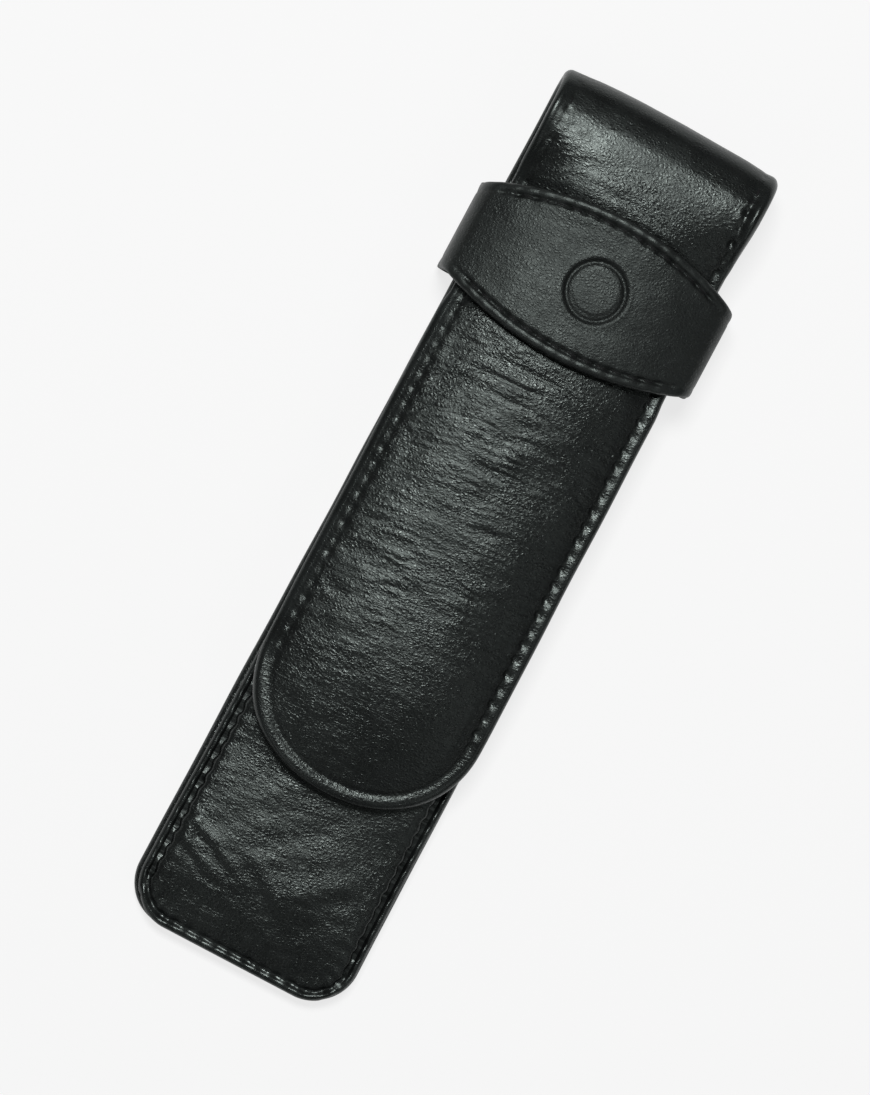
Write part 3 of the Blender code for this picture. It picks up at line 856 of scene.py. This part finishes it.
def ripple(across, along, seed):
    # Rounded ripples one unit apart that run across, each a few units long.
    phase = along + 0.9 * noiseAt(across / 4.6, along / 3.0, seed) + 0.45 * noiseAt(
        across / 1.9, along / 1.3, seed + 1)
    height = abs(np.sin(math.pi * phase)) ** 0.85
    here = np.clip(0.55 + 1.3 * noiseAt(across / 2.6, along / 1.6, seed + 2), 0.05, 1.15)
    return here * height - 0.35


def billow(across, along, seed):
    # Rounded folds with sharp valleys between them.
    first = abs(noiseAt(across, along, seed)) ** 0.7
    second = abs(noiseAt(across * 2.3 + 5.0, along * 2.1, seed + 1)) ** 0.7
    return first + 0.42 * second - 0.52


flapCreases = {
    "rise": 0.095 * mm,           # of the fine ripples
    "spacing": 1.35,              # from one to the next, in mm
    "swells": 0.14 * mm,          # height of the broader folds
    "swellSpacing": 3.2,
    "reach": 8.5,                 # length of a fold across the flap, in mm
    "wide": 0.30 * mm,            # broadest unevenness
    "pillow": 0.12 * mm,          # swell inside the seam
    "hump": 0.68 * mm,            # swell between the fold and the keeper
    "dip": 0.42 * mm,             # hollow beside the fold
    "pressed": 0.30 * mm,         # how far the keeper presses the flap in
    "keeper": (17.0, 42.0),       # where it does, in mm below the top
    "tongue": 108.0,              # the tongue's thick smooth rim starts here
    "side": 10.0,                 # and the rims at the sides this far from the middle
    "border": 0.32 * mm,          # raised border at the left side
    "rimOut": 0.8 * mm,           # that side's rim nearer to the edge
    "deep": (
        # middle below the top, arch, centre across, half length, depth (mm)
        (48.9, 0.010, -2.0, 13.0, 0.15),
        (51.6, 0.009, -6.0, 10.0, 0.18),
        (54.6, 0.008, 1.0, 13.0, 0.12),
        (13.2, 0.016, -3.0, 9.0, 0.08),
        (16.4, 0.015, 2.0, 10.0, 0.10),
    ),
}


def flapForm(x, run, edge, seamFar, along):
    # x and the distance below the top in mm; creases arch towards the fold.
    look = flapCreases
    across = x / mm
    down = (run - flapStart + foldRadius) / mm
    arch = 0.015 - 0.011 * rises(down, 18.0, 85.0)
    arched = down + 0.10 * across - arch * across ** 2
    fine = ripple(across / look["spacing"], arched / look["spacing"], 11)
    bentX = across / look["reach"] + 0.5 * noiseAt(across / 14, arched / 10, 3)
    bentY = arched / look["swellSpacing"] + 0.9 * noiseAt(across / 11, arched / 6, 7)
    folds = look["rise"] * fine + look["swells"] * noiseAt(bentX, bentY, 15)
    keeperFrom, keeperTo = look["keeper"]
    where = (0.15 + 0.35 * rises(down, 4.0, 8.0) + 0.60 * rises(down, keeperTo, 6.0)
             - 0.55 * rises(down, 88.0, 28.0))
    where = where * (1.1 - 0.25 * across / 20.0)
    where = where * np.clip(1.0 + 1.2 * noiseAt(across / 9, down / 11, 5), 0.35, 1.6)
    inside = rises(edge, 2.9 * mm, 2.6 * mm)
    underKeeper = rises(down, keeperFrom, 4.0) * falls(down, keeperTo, 4.0)
    height = folds * where * inside * (1.0 - 0.8 * underKeeper)
    for middle, bow, centre, half, depth in look["deep"]:
        off = down - middle - bow * across ** 2 - 0.5 * noiseAt(across / 6, middle, 9)
        part = falls(abs(across - centre), half * 0.4, half * 0.6)
        valley = bell(off, 0.42) - 0.45 * bell(off - 1.0, 0.8)
        height = height - depth * mm * part * valley * inside
    wide = look["wide"] * noiseAt(across / 15, down / 21, 31) * (1.0 - underKeeper)
    pillow = look["pillow"] * rises(edge, 3.0 * mm, 4.0 * mm)
    hump = look["hump"] * rises(down, 5.0, 13.0) * falls(down, 18.0, 5.0)
    hump = (hump - look["dip"] * bell(down - 4.6, 2.8)) * rises(edge, 0.0, 3.5 * mm)
    # the seam: flat at the fold, a smooth rim round the tongue, and rims of its own at the sides
    bent = 1.0 - 0.75 * falls(down, 4.0, 5.0)
    tongue = rises(down, look["tongue"], 8.0)
    left = rises(-across, look["side"], 6.0)
    right = rises(across, look["side"], 6.0) * (1.0 - tongue)
    border = look["border"] * left * (1.0 - underKeeper) * rises(down, 20.0, 20.0) * falls(
        edge, 2.4 * mm, 4.8 * mm)
    seam = seamForm(
        edge, seamFar, along, flapLook["seam"], puffs=0.25,
        beads=(1.0 - 0.65 * left - 0.40 * right) * (1.0 - 0.92 * tongue),
        rimShare=(1.0 + 0.3 * left * (1.0 - tongue)) * (1.0 + 0.80 * tongue) * (1.0 + 1.1 * right),
        rimWide=1.0 + 0.7 * tongue + 0.2 * right, grooves=1.0 - 0.8 * left - 0.3 * right,
        rimOut=look["rimOut"] * left * (1.0 - tongue))
    return (height + (wide + pillow) * inside + hump + border
            - look["pressed"] * underKeeper + bent * seam)


backCreases = {
    "rise": 0.10,                 # of the folds, in mm
    "riseAtTop": 0.06,            # added where the back nears the fold
    "top": 150.0,                 # which starts here, in mm from the foot
    "in": 0.12 * mm,              # how far the whole face lies in
}


def backForm(x, run, edge, seamFar, along):
    # The back lies on the table, so its creases only go inwards.
    across, down = x / mm, run / mm
    folds = billow(across / 9.0, down / 2.2 + 0.8 * noiseAt(across / 12, down / 8, 4), 41)
    inside = rises(edge, 2.9 * mm, 2.6 * mm)
    bent = rises(down, backCreases["top"], 8.0)
    height = (backCreases["rise"] + backCreases["riseAtTop"] * bent) * mm
    height = height * (folds - 0.35) * inside
    return height + (0.75 - 0.55 * bent) * seamForm(
        edge, seamFar, along, backLook["seam"]) - backCreases["in"]


frontCreases = {
    "slack": 0.20 * mm,           # broad slack folds, seen in slanting light
    "slackFine": 0.12 * mm,
    "folds": 0.10 * mm,
}
frontRidges = (
    # start and end, each across and below the top, height and width (mm)
    (-15.8, 141.2, -6.6, 145.6, 0.19, 0.8),
    (-17.0, 144.2, -9.0, 148.4, 0.15, 0.9),
    (-16.6, 141.0, -16.8, 154.0, 0.30, 1.5),
    (-4.0, 142.5, 5.0, 149.0, 0.18, 1.3),
    (-12.0, 150.0, 2.0, 152.5, 0.16, 1.4),
    (4.0, 146.0, 13.0, 139.0, 0.14, 1.6),
)


def frontForm(x, run, edge, seamFar, along):
    across, up = x / mm, run / mm
    slantA = across * 0.80 + up * 0.60
    slantB = -across * 0.60 + up * 0.80
    soft = frontCreases["slack"] * noiseAt(slantA / 16, slantB / 7.5, 51)
    soft = soft + frontCreases["slackFine"] * noiseAt(slantA / 9, slantB / 3.4, 52)
    down = 2 * halfLength / mm - up
    for startX, startDown, endX, endDown, tall, wide in frontRidges:
        aheadX, aheadY = endX - startX, endDown - startDown
        pastX, pastY = across - startX, down - startDown
        long = math.hypot(aheadX, aheadY)
        share = (pastX * aheadX + pastY * aheadY) / long ** 2
        off = (pastX * aheadY - pastY * aheadX) / long
        off = off + 0.35 * noiseAt(share * 3.0, startX, 57)
        part = rises(share, -0.25, 0.4) * falls(share, 0.75, 0.5)
        soft = soft + tall * mm * part * (bell(off, wide) - 0.6 * bell(off + 1.3 * wide, wide))
    folds = billow(across / 7.5, up / 1.7 + 0.8 * noiseAt(across / 10, up / 7, 6), 53)
    height = (soft + frontCreases["folds"] * folds) * rises(edge, 1.8 * mm, 2.6 * mm)
    left = rises(-across, 12.0, 5.0) * rises(up, 9.0, 5.0)
    foot = nearFoot(x, run)
    inset = frontLook["seam"] * (1.0 - (1.0 - footSeamShare) * foot)
    side = seamForm(edge, seamFar, along, inset, frontSeamLook, rimShare=1.0 - 0.4 * left,
                    puffs=0.2)
    return height + side + foot * (seamForm(edge, seamFar, along, inset, footSeamLook) - side)


# The long strip: back panel up to the middle of the fold, flap panel from there on

# seam is the distance of the stitches from the edge, and turned names the turned ends
flapLook = {"seam": 2.8 * mm, "rows": 420, "columns": 90, "thick": stripThick, "turned": "end"}
backLook = {"seam": 3.0 * mm, "rows": 330, "columns": 72, "thick": stripThick, "turned": "start"}
frontLook = {"seam": 1.6 * mm, "rows": 318, "columns": 78, "thick": frontThick, "turned": "both"}

flapPanel, flapSeamLine = rolledPanel("flapPanel", flapSpot, placeStrip, flapForm, flapLook,
                                      stripLeather)
print("flap panel made")
backPanel, backSeamLine = rolledPanel("backPanel", backSpot, placeStrip, backForm, backLook,
                                      stripLeather)
print("back panel made")
frontPanel, frontSeamLine = rolledPanel("frontPanel", frontSpot, placeFront, frontForm, frontLook,
                                        frontLeather, frontSeamSpot)
print("front panel made")


def tongueSunk(s):
    down = np.interp(s, flapSeamLine["along"], flapSeamLine["run"]) - flapStart + foldRadius
    return threadSunk["flap"] + threadSunk["tongue"] * rises(down, 106.0 * mm, 8.0 * mm)


flapThread, backThread, frontThread = (
    threadPiece(name, line, place, 0.0, line["along"][-1], sunk) for name, line, place, sunk in (
        ("flapThread", flapSeamLine, placeStrip, tongueSunk),
        ("backThread", backSeamLine, placeStrip, threadSunk["back"]),
        ("frontThread", frontSeamLine, placeFront, threadSunk["front"])))
print("seams sewn")


# Linings, facing and divider

liningNear = stripThick - layers["lining"]
frontNear = layers["leather"] + layers["gap"]
facingDeep = 10.0 * mm


def facingSpot(row, column, inset):
    run = mouthRun - inset - facingDeep + facingDeep * row
    return column * (halfWidth(run) - caseForm["frontStep"] - inset), run


frontLiningSpot = frontSpotTo(mouthRun - facingDeep - layers["gap"])
flapLining = layeredSheet("flapLining", flapSpot, placeStrip, liningNear, liningCloth)
backLining = layeredSheet("backLining", backSpot, placeStrip, liningNear, liningCloth)
frontLining = layeredSheet("frontLining", frontLiningSpot, placeFront, frontNear, liningCloth)
mouthFacing = layeredSheet("mouthFacing", facingSpot, placeFront, frontNear, thinLeather, (14, 40))
print("linings made")

dividerForm = {
    "thick": 0.6 * mm,
    "foot": 3.5 * mm,             # width of a flange
    "rows": 60,
    "bend": 0.9 * mm,             # radius where the strip turns from flange to web
    "waver": 0.25 * mm,
}


def makeDivider():
    # A strip folded to a Z, swept along the case.
    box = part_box("divider")
    half = dividerForm["thick"] / 2
    bend, foot = dividerForm["bend"], dividerForm["foot"]
    turns = [(bend * math.sin(t), bend - bend * math.cos(t))
             for t in np.linspace(0.0, math.pi / 2, 6)]
    points = []
    for y in np.linspace(box[0].y, box[1].y, dividerForm["rows"] + 1):
        spotX, spotY = np.zeros(1), np.full(1, y)
        floor = level(spotY)[0] + stripThick + layers["gap"] + half
        roof = below(frontHeight, spotX, spotY, frontThick + layers["gap"])[0][2] - half
        middle = [(foot - half, floor)]
        middle += [(bend - across, floor + up) for across, up in turns]
        for share in (0.25, 0.5, 0.75):
            sway = dividerForm["waver"] * math.sin(math.pi * share)
            sway = sway * noise.noise((y / (14 * mm), 3, 1))
            middle.append((sway * 2, floor + bend + (roof - floor - 2 * bend) * share))
        middle += [(-up, roof - bend + across) for across, up in turns]
        middle.append((-foot + half, roof))
        line = np.array(middle)
        ahead = unit(np.gradient(line, axis=0))
        out = np.stack((-ahead[:, 1], ahead[:, 0]), axis=1) * half
        points += [(x, y, z) for x, z in np.concatenate((line + out, (line - out)[::-1]))]
    rings = dividerForm["rows"] + 1
    faces = tubeFaces(0, rings, len(points) // rings)
    return makeObject("dividerStrip", [(points, points, np.zeros(len(points)))], faces,
                      thinLeather)


dividerStrip = makeDivider()


# Keeper: a band swept round the case, lens shaped from above

keeperForm = {
    "half": keeperBox[1].x,
    "side": 16.2 * mm,            # height of the band at the sides
    "corner": 2.7 * mm,           # radius where it turns in under the back
    "tab": 5.0 * mm,
    "lifted": 0.28 * mm,          # middle of the upper edge, over the flap's swell
    "straight": 6.2 * mm,
    "lift": 4.5 * mm,             # table to the end of the turned edge
    "rows": 400,
    "columns": 104,
    "seam": 1.9 * mm,
    "count": 200.0 * mm,          # stitches are counted from this far left of the middle
    "stagger": 0.9 * mm,          # of the lower seam's stitches
    "waves": 0.16 * mm,
    "fineWaves": 0.07 * mm,
    "squareness": 0.62,           # below 1 the edges are crisper than round
    "ringAt": (1.0 * mm, 0.0 * mm),
    "ring": 4.95 * mm,            # radius of the pressed ring
    "ringWidth": 0.50 * mm,
    "ringDepth": 0.44 * mm,
    "lip": 0.07 * mm,             # raised round the ring
    "disc": 0.10 * mm,            # how deep the face inside the ring lies
    "second": 0.13 * mm,          # depth of the fine line inside the ring
    "secondAt": 4.1 * mm,
}


def keeperPath():
    # Outer line of half the band, from the crown to the tab, and its outward direction.
    offset = layers["gap"] + stripThick
    half, radius = keeperForm["half"], keeperForm["corner"]
    x = caseForm["flapHalf"] * np.sin(np.linspace(0.0, math.pi / 2, 60))
    crown = rise + 2 * foldRadius
    z = crown - caseForm["crown"] * (x / caseForm["flapHalf"]) ** caseForm["crownPower"]
    slope = np.gradient(z, x)
    long = np.sqrt(1.0 + slope ** 2)
    line = np.stack((x - slope / long * offset, z + offset / long), axis=1)
    edge = line[-1]
    lean = (edge - line[-2])[1] / (edge - line[-2])[0]
    corner = np.array((half, edge[1] + lean * (half - edge[0])))
    upright = np.array((half, radius + keeperForm["straight"]))
    t = np.linspace(0.0, 1.0, 24)[1:, None]
    shoulder = (1 - t) ** 2 * edge + 2 * t * (1 - t) * corner + t ** 2 * upright
    turn = np.linspace(0.0, math.pi / 2, 14)[:, None]
    inner = half - radius
    turned = np.concatenate((inner + radius * np.cos(turn), radius * (1.0 - np.sin(turn))), axis=1)
    line = np.concatenate((line, shoulder, turned, [[inner - keeperForm["tab"], 0.0]]))
    far = np.concatenate(([0.0], np.cumsum(np.linalg.norm(np.diff(line, axis=0), axis=1))))
    even = np.linspace(0.0, far[-1], 900)
    line = np.stack([np.interp(even, far, line[:, k]) for k in (0, 1)], axis=1)
    ahead = np.gradient(line, axis=0)
    kernel = np.ones(31) / 31
    padded = np.concatenate((np.repeat(ahead[:1], 15, 0), ahead, np.repeat(ahead[-1:], 15, 0)))
    ahead = unit(np.stack([np.convolve(padded[:, k], kernel, "valid") for k in (0, 1)], axis=1))
    ahead[0] = (1.0, 0.0)
    return even, line, np.stack((-ahead[:, 1], ahead[:, 0]), axis=1)


keeperLong, keeperPoints, keeperOut = keeperPath()


def keeperTallAt(u):
    x = np.interp(abs(u), keeperLong, np.maximum.accumulate(keeperPoints[:, 0]))
    return keeperTall + (keeperForm["side"] - keeperTall) * (x / keeperForm["half"]) ** 2


def placeKeeper(u, v, depth):
    lineX, lineZ, outX, outZ = (np.interp(abs(u), keeperLong, values[:, k])
                                for values in (keeperPoints, keeperOut) for k in (0, 1))
    x = np.where(u < 0, -1.0, 1.0) * (lineX - outX * depth)
    lift = keeperForm["lifted"] * rises(v, 5.0 * mm, 8.0 * mm) * falls(abs(u), 6.0 * mm, 9.0 * mm)
    return np.stack((x, keeperY + v, lineZ - outZ * depth + lift), axis=-1)


def keeperHeight(u, v):
    # Raised rims, seams along both long edges, fine waves and the pressed ring.
    form = keeperForm
    edge = keeperTallAt(u) / 2 - abs(v)
    along = u + form["count"] + np.where(v < 0, form["stagger"], 0.0)
    rounded = seamForm(edge, abs(edge - form["seam"]), along, form["seam"], keeperSeamLook)
    inside = rises(edge, 2.2 * mm, 2.2 * mm)
    waves = form["waves"] * noiseAt(u / (11 * mm), v / (6 * mm), 61)
    waves = waves + form["fineWaves"] * noiseAt(u / (3.6 * mm), v / (2.2 * mm), 62)
    centreU, centreV = form["ringAt"]
    far = np.hypot(u - centreU, v - centreV)
    ring = -form["ringDepth"] * bell(far - form["ring"], form["ringWidth"])
    lip = form["lip"] * bell(far - form["ring"] - 0.9 * mm, 0.5 * mm)
    disc = -form["disc"] * falls(far, form["ring"], 0.5 * mm)
    lower = np.clip(0.45 - 0.9 * (v - centreV) / np.maximum(far, 0.1 * mm), 0.05, 1.3)
    second = -form["second"] * lower * bell(far - form["secondAt"], 0.28 * mm)
    quiet = rises(far, 5.0 * mm, 2.5 * mm)
    onTop = falls(abs(u), 17.5 * mm, 5.0 * mm)
    return (rounded * (0.15 + 0.85 * onTop) + waves * inside * quiet * onTop
            + ring + lip + disc + second)


def makeKeeper():
    total = keeperLong[-1]
    u = np.linspace(-total, total, keeperForm["rows"] + 1)
    liftAt = keeperLong[np.argmax((keeperPoints[:, 1] < keeperForm["lift"])
                                  & (keeperLong > total / 2))]
    lined = falls(abs(u), liftAt - 2.0 * mm, 3.0 * mm)
    thick = layers["leather"] + (stripThick - layers["leather"]) * lined
    radius = thick / 2
    tall = keeperTallAt(u)
    turns = np.linspace(0.0, math.pi, 11)[1:]
    square = keeperForm["squareness"]
    # round the section: outer face, right edge, inner face and left edge
    columns = [("face", c) for c in np.linspace(-1.0, 1.0, keeperForm["columns"] + 1)]
    columns += [(1.0, t) for t in turns]
    columns += [("inner", c) for c in np.linspace(1.0, -1.0, 16)[1:-1]]
    columns += [(-1.0, t) for t in turns[::-1]]
    parts = []
    for side, value in columns:
        if side == "face":
            v = value * (tall / 2 - radius)
            depth = -keeperHeight(u, v)
            worn = bell(tall / 2 - abs(v) - 0.9 * mm, 0.7 * mm)
        elif side == "inner":
            v, depth, worn = value * (tall / 2 - radius), thick, 0.0
        else:
            base = side * (tall / 2 - radius)
            worn = math.cos(value / 2) ** 2
            raised = radius + keeperHeight(u, base) * worn
            v = base + side * raised * math.sin(value) ** square
            depth = radius - raised * math.copysign(abs(math.cos(value)) ** square,
                                                    math.cos(value))
        parts.append(laid(placeKeeper, u, v, depth, None, worn))
    points, places, wear = (np.stack(values, axis=1) for values in zip(*parts))
    swept = [(points.reshape(-1, 3), places.reshape(-1, 3), wear.reshape(-1))]
    faces = tubeFaces(0, len(u), len(columns))
    return makeObject("keeperBand", swept, faces, keeperLeather), liftAt


keeperBand, keeperLift = makeKeeper()


def keeperSunk(s):
    return threadSunk["keeper"] * rises(abs(s - keeperForm["count"]), 18.5 * mm, 2.0 * mm)


keeperThreads = []
for label, sign in (("Upper", 1.0), ("Lower", -1.0)):
    u = np.linspace(-keeperLong[-1], keeperLong[-1], 1600)
    line = makeLine(u, sign * (keeperTallAt(u) / 2 - keeperForm["seam"]))
    line["along"] = u + keeperForm["count"] + (keeperForm["stagger"] if sign < 0 else 0.0)
    keeperThreads.append(threadPiece(
        "keeperThread" + label, line, placeKeeper, keeperForm["count"] - keeperLift,
        keeperForm["count"] + keeperLift, keeperSunk))


def keeperLiningSpot(row, column, inset):
    u = (2 * row - 1.0) * (keeperLift - 1.0 * mm)
    return u, column * (keeperTallAt(u) / 2 - inset)


keeperLining = layeredSheet("keeperLining", keeperLiningSpot, placeKeeper,
                            liningNear + 0.05 * mm, liningCloth, (90, 20), 0.0)

strapForm = {
    "rows": 90,
    "columns": 30,
    "back": 14.0 * mm,            # height of the strap in the middle of the back
    "rings": 5,                   # round its edge
    "worn": 0.3,
}


def makeStrap():
    # The strap under the back that joins the band's two ends.
    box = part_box("keeper_strap")
    reach = box[1].x
    thick = box[1].z - box[0].z
    radius = thick / 2

    def spot(row, column, inset):
        x = (2 * row - 1.0) * (reach - inset)
        side = abs(x / reach)
        tall = strapForm["back"] + (keeperForm["side"] - strapForm["back"]) * side ** 2
        return x, column * (tall / 2 - inset)

    def place(x, v, depth):
        return np.stack((x, keeperY + v, depth + 0 * x), axis=-1)

    rows, columns = gridShares(strapForm["rows"], strapForm["columns"])
    seam = lineAt(spot, keeperForm["seam"], "both")
    border, loopRow, loopColumn = borderOf(rows, columns, "both")
    x, v = spot(*gridOf(rows, columns), radius)
    seamFar, _ = nearLine(seam, x, v)
    groove = 0.22 * mm * bell(seamFar, 0.5 * mm) + 0.06 * mm * (1.0 + noiseAt(
        x / (5 * mm), v / (4 * mm), 71))
    worn = strapForm["worn"]
    parts = [laid(place, x, v, depth, 0.0, worn) for depth in (groove, thick)]
    for turn in np.linspace(0.0, math.pi, strapForm["rings"] + 2)[1:-1]:
        ring = spot(loopRow, loopColumn, radius - radius * math.sin(turn))
        depth = radius - radius * math.cos(turn) + 0.04 * mm * math.cos(turn)
        parts.append(laid(place, *ring, depth, radius * turn, worn))
    faces = shellFaces(rows, columns, border, strapForm["rings"])
    return (makeObject("keeperStrap", parts, faces, keeperLeather),
            threadPiece("strapThread", seam, place, 0.0, seam["along"][-1],
                        threadSunk["strap"]))


keeperStrap, strapThread = makeStrap()
print("keeper made")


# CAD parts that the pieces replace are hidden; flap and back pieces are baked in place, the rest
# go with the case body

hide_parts("flap_leather", "flap_interlining", "fold_leather", "fold_interlining")
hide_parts("flap_lining", "fold_lining")
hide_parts("back_leather", "back_interlining", "fold_leather", "fold_interlining")
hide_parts("back_lining", "fold_lining")
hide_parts("front_leather")
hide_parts("front_lining")
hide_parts("mouth_facing")
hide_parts("divider")
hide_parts("keeper_leather", "keeper_interlining")
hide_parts("keeper_lining")
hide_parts("keeper_strap")

for piece in (flapPanel, flapLining, flapThread):
    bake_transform(piece)
for piece in (backPanel, backLining, backThread):
    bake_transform(piece)
for piece in (frontPanel, frontThread, frontLining, mouthFacing, dividerStrip, keeperBand,
              keeperLining, keeperStrap, strapThread, *keeperThreads):
    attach(piece, "case")

print("pieces placed")


# Floor, lamps and camera

stageLook = {
    "floor": 3.0,                 # width of the floor
    "floorAt": -0.00002,          # just under the case
    "floorColour": (0.86, 0.86, 0.86),
    "world": 0.05,
    "worldColour": (0.94, 0.97, 1.0),
    "glossyWorld": 0.08,          # share of the white that glossy rays see above the floor
    "glossyFloor": 0.20,          # and on it
    "floorWhite": 0.77,           # share of white that the camera sees on the floor
    "viewTall": 0.1837,           # height of the picture at the case
    "distance": 0.90,
    "sensor": 36.0,               # height of the camera's sensor, in millimetres
    "lean": 28.1,                 # case's clockwise lean in the picture, in degrees
    "tilt": 3.2,                  # camera off the vertical, towards the case's left
    "shift": (0.0027, 0.0008),    # case's middle right of and above the picture's middle
    "height": 0.008,              # of the point that the camera looks at
}


def showWhite(tree, shaded, glow, output, forGloss, forCamera=None):
    # Camera and glossy rays see a share of plain white in place of the shaded surface.
    path = addNode(tree, "LightPath").outputs
    seen = mathNode(tree, "MAXIMUM", path["Is Camera Ray"], path["Is Transmission Ray"])
    if forCamera:
        seen = mathNode(tree, "MULTIPLY", seen, forCamera)
    seen = mathNode(tree, "MAXIMUM", seen,
                    mathNode(tree, "MULTIPLY", path["Is Glossy Ray"], forGloss))
    mixed = addNode(tree, "MixShader", None, seen, shaded, glow.outputs[0]).outputs[0]
    feed(tree, output.inputs["Surface"], mixed)


def makeFloor():
    bpy.ops.mesh.primitive_grid_add(x_subdivisions=8, y_subdivisions=8, size=stageLook["floor"],
                                    location=(0.0, 0.0, stageLook["floorAt"]))
    floor = bpy.context.object
    floor.name = "floor"
    material, tree, shader = newMaterial("paleFloor")
    feedAll(tree, shader, Base_Color=(*stageLook["floorColour"], 1.0), Roughness=0.9,
            Specular_IOR_Level=0.2)
    showWhite(tree, tree.nodes["Principled BSDF"].outputs[0],
              addNode(tree, "Emission", Strength=1.0), tree.nodes["Material Output"],
              stageLook["glossyFloor"], stageLook["floorWhite"])
    floor.data.materials.append(material)


def makeWorld():
    world = bpy.data.worlds.new("paleStudio")
    bpy.context.scene.world = world
    world.use_nodes = True
    tree = world.node_tree
    plain = tree.nodes["Background"]
    feedAll(tree, plain.inputs, Color=(*stageLook["worldColour"], 1.0),
            Strength=stageLook["world"])
    showWhite(tree, plain.outputs[0], addNode(tree, "Background", Strength=1.0),
              tree.nodes["World Output"], stageLook["glossyWorld"])


lamps = {
    # place, size across and along the case, power in watts
    "keyLamp": ((-0.19, 0.35, 1.08), (0.38, 0.28), 10.2),
    "fillLamp": ((0.80, -0.30, 0.90), (0.60, 0.60), 0.8),
    "endLamp": ((-0.30, -0.95, 0.80), (0.60, 0.50), 0.7),
}


def makeLamps():
    for name, (place, size, power) in lamps.items():
        data = bpy.data.lights.new(name, "AREA")
        data.shape = "RECTANGLE"
        data.size, data.size_y = size
        data.energy = power
        lamp = bpy.data.objects.new(name, data)
        back = Vector(place).normalized()
        across = Vector((0.0, 1.0, 0.0)).cross(back).normalized()
        turn = Matrix((across, back.cross(across), back)).transposed().to_4x4()
        lamp.matrix_world = Matrix.Translation(place) @ turn
        bpy.context.scene.collection.objects.link(lamp)


def makeCamera():
    lean, tilt = math.radians(stageLook["lean"]), math.radians(stageLook["tilt"])
    back = Vector((-math.sin(tilt), 0.0, math.cos(tilt)))
    up = Vector((-math.sin(lean), math.cos(lean), 0.0))
    right = up.cross(back).normalized()
    up = back.cross(right)
    shiftRight, shiftUp = stageLook["shift"]
    target = Vector((0.0, 0.0, stageLook["height"])) - right * shiftRight - up * shiftUp
    data = bpy.data.cameras.new("photoCamera")
    data.sensor_fit = "VERTICAL"
    data.sensor_height = stageLook["sensor"]
    data.lens = stageLook["sensor"] * stageLook["distance"] / stageLook["viewTall"]
    camera = bpy.data.objects.new("photoCamera", data)
    turn = Matrix((right, up, back)).transposed().to_4x4()
    camera.matrix_world = Matrix.Translation(target + back * stageLook["distance"]) @ turn
    bpy.context.scene.collection.objects.link(camera)
    bpy.context.scene.camera = camera


makeFloor()
makeWorld()
makeLamps()
makeCamera()
bpy.context.scene.view_settings.view_transform = "Standard"
print("stage made")
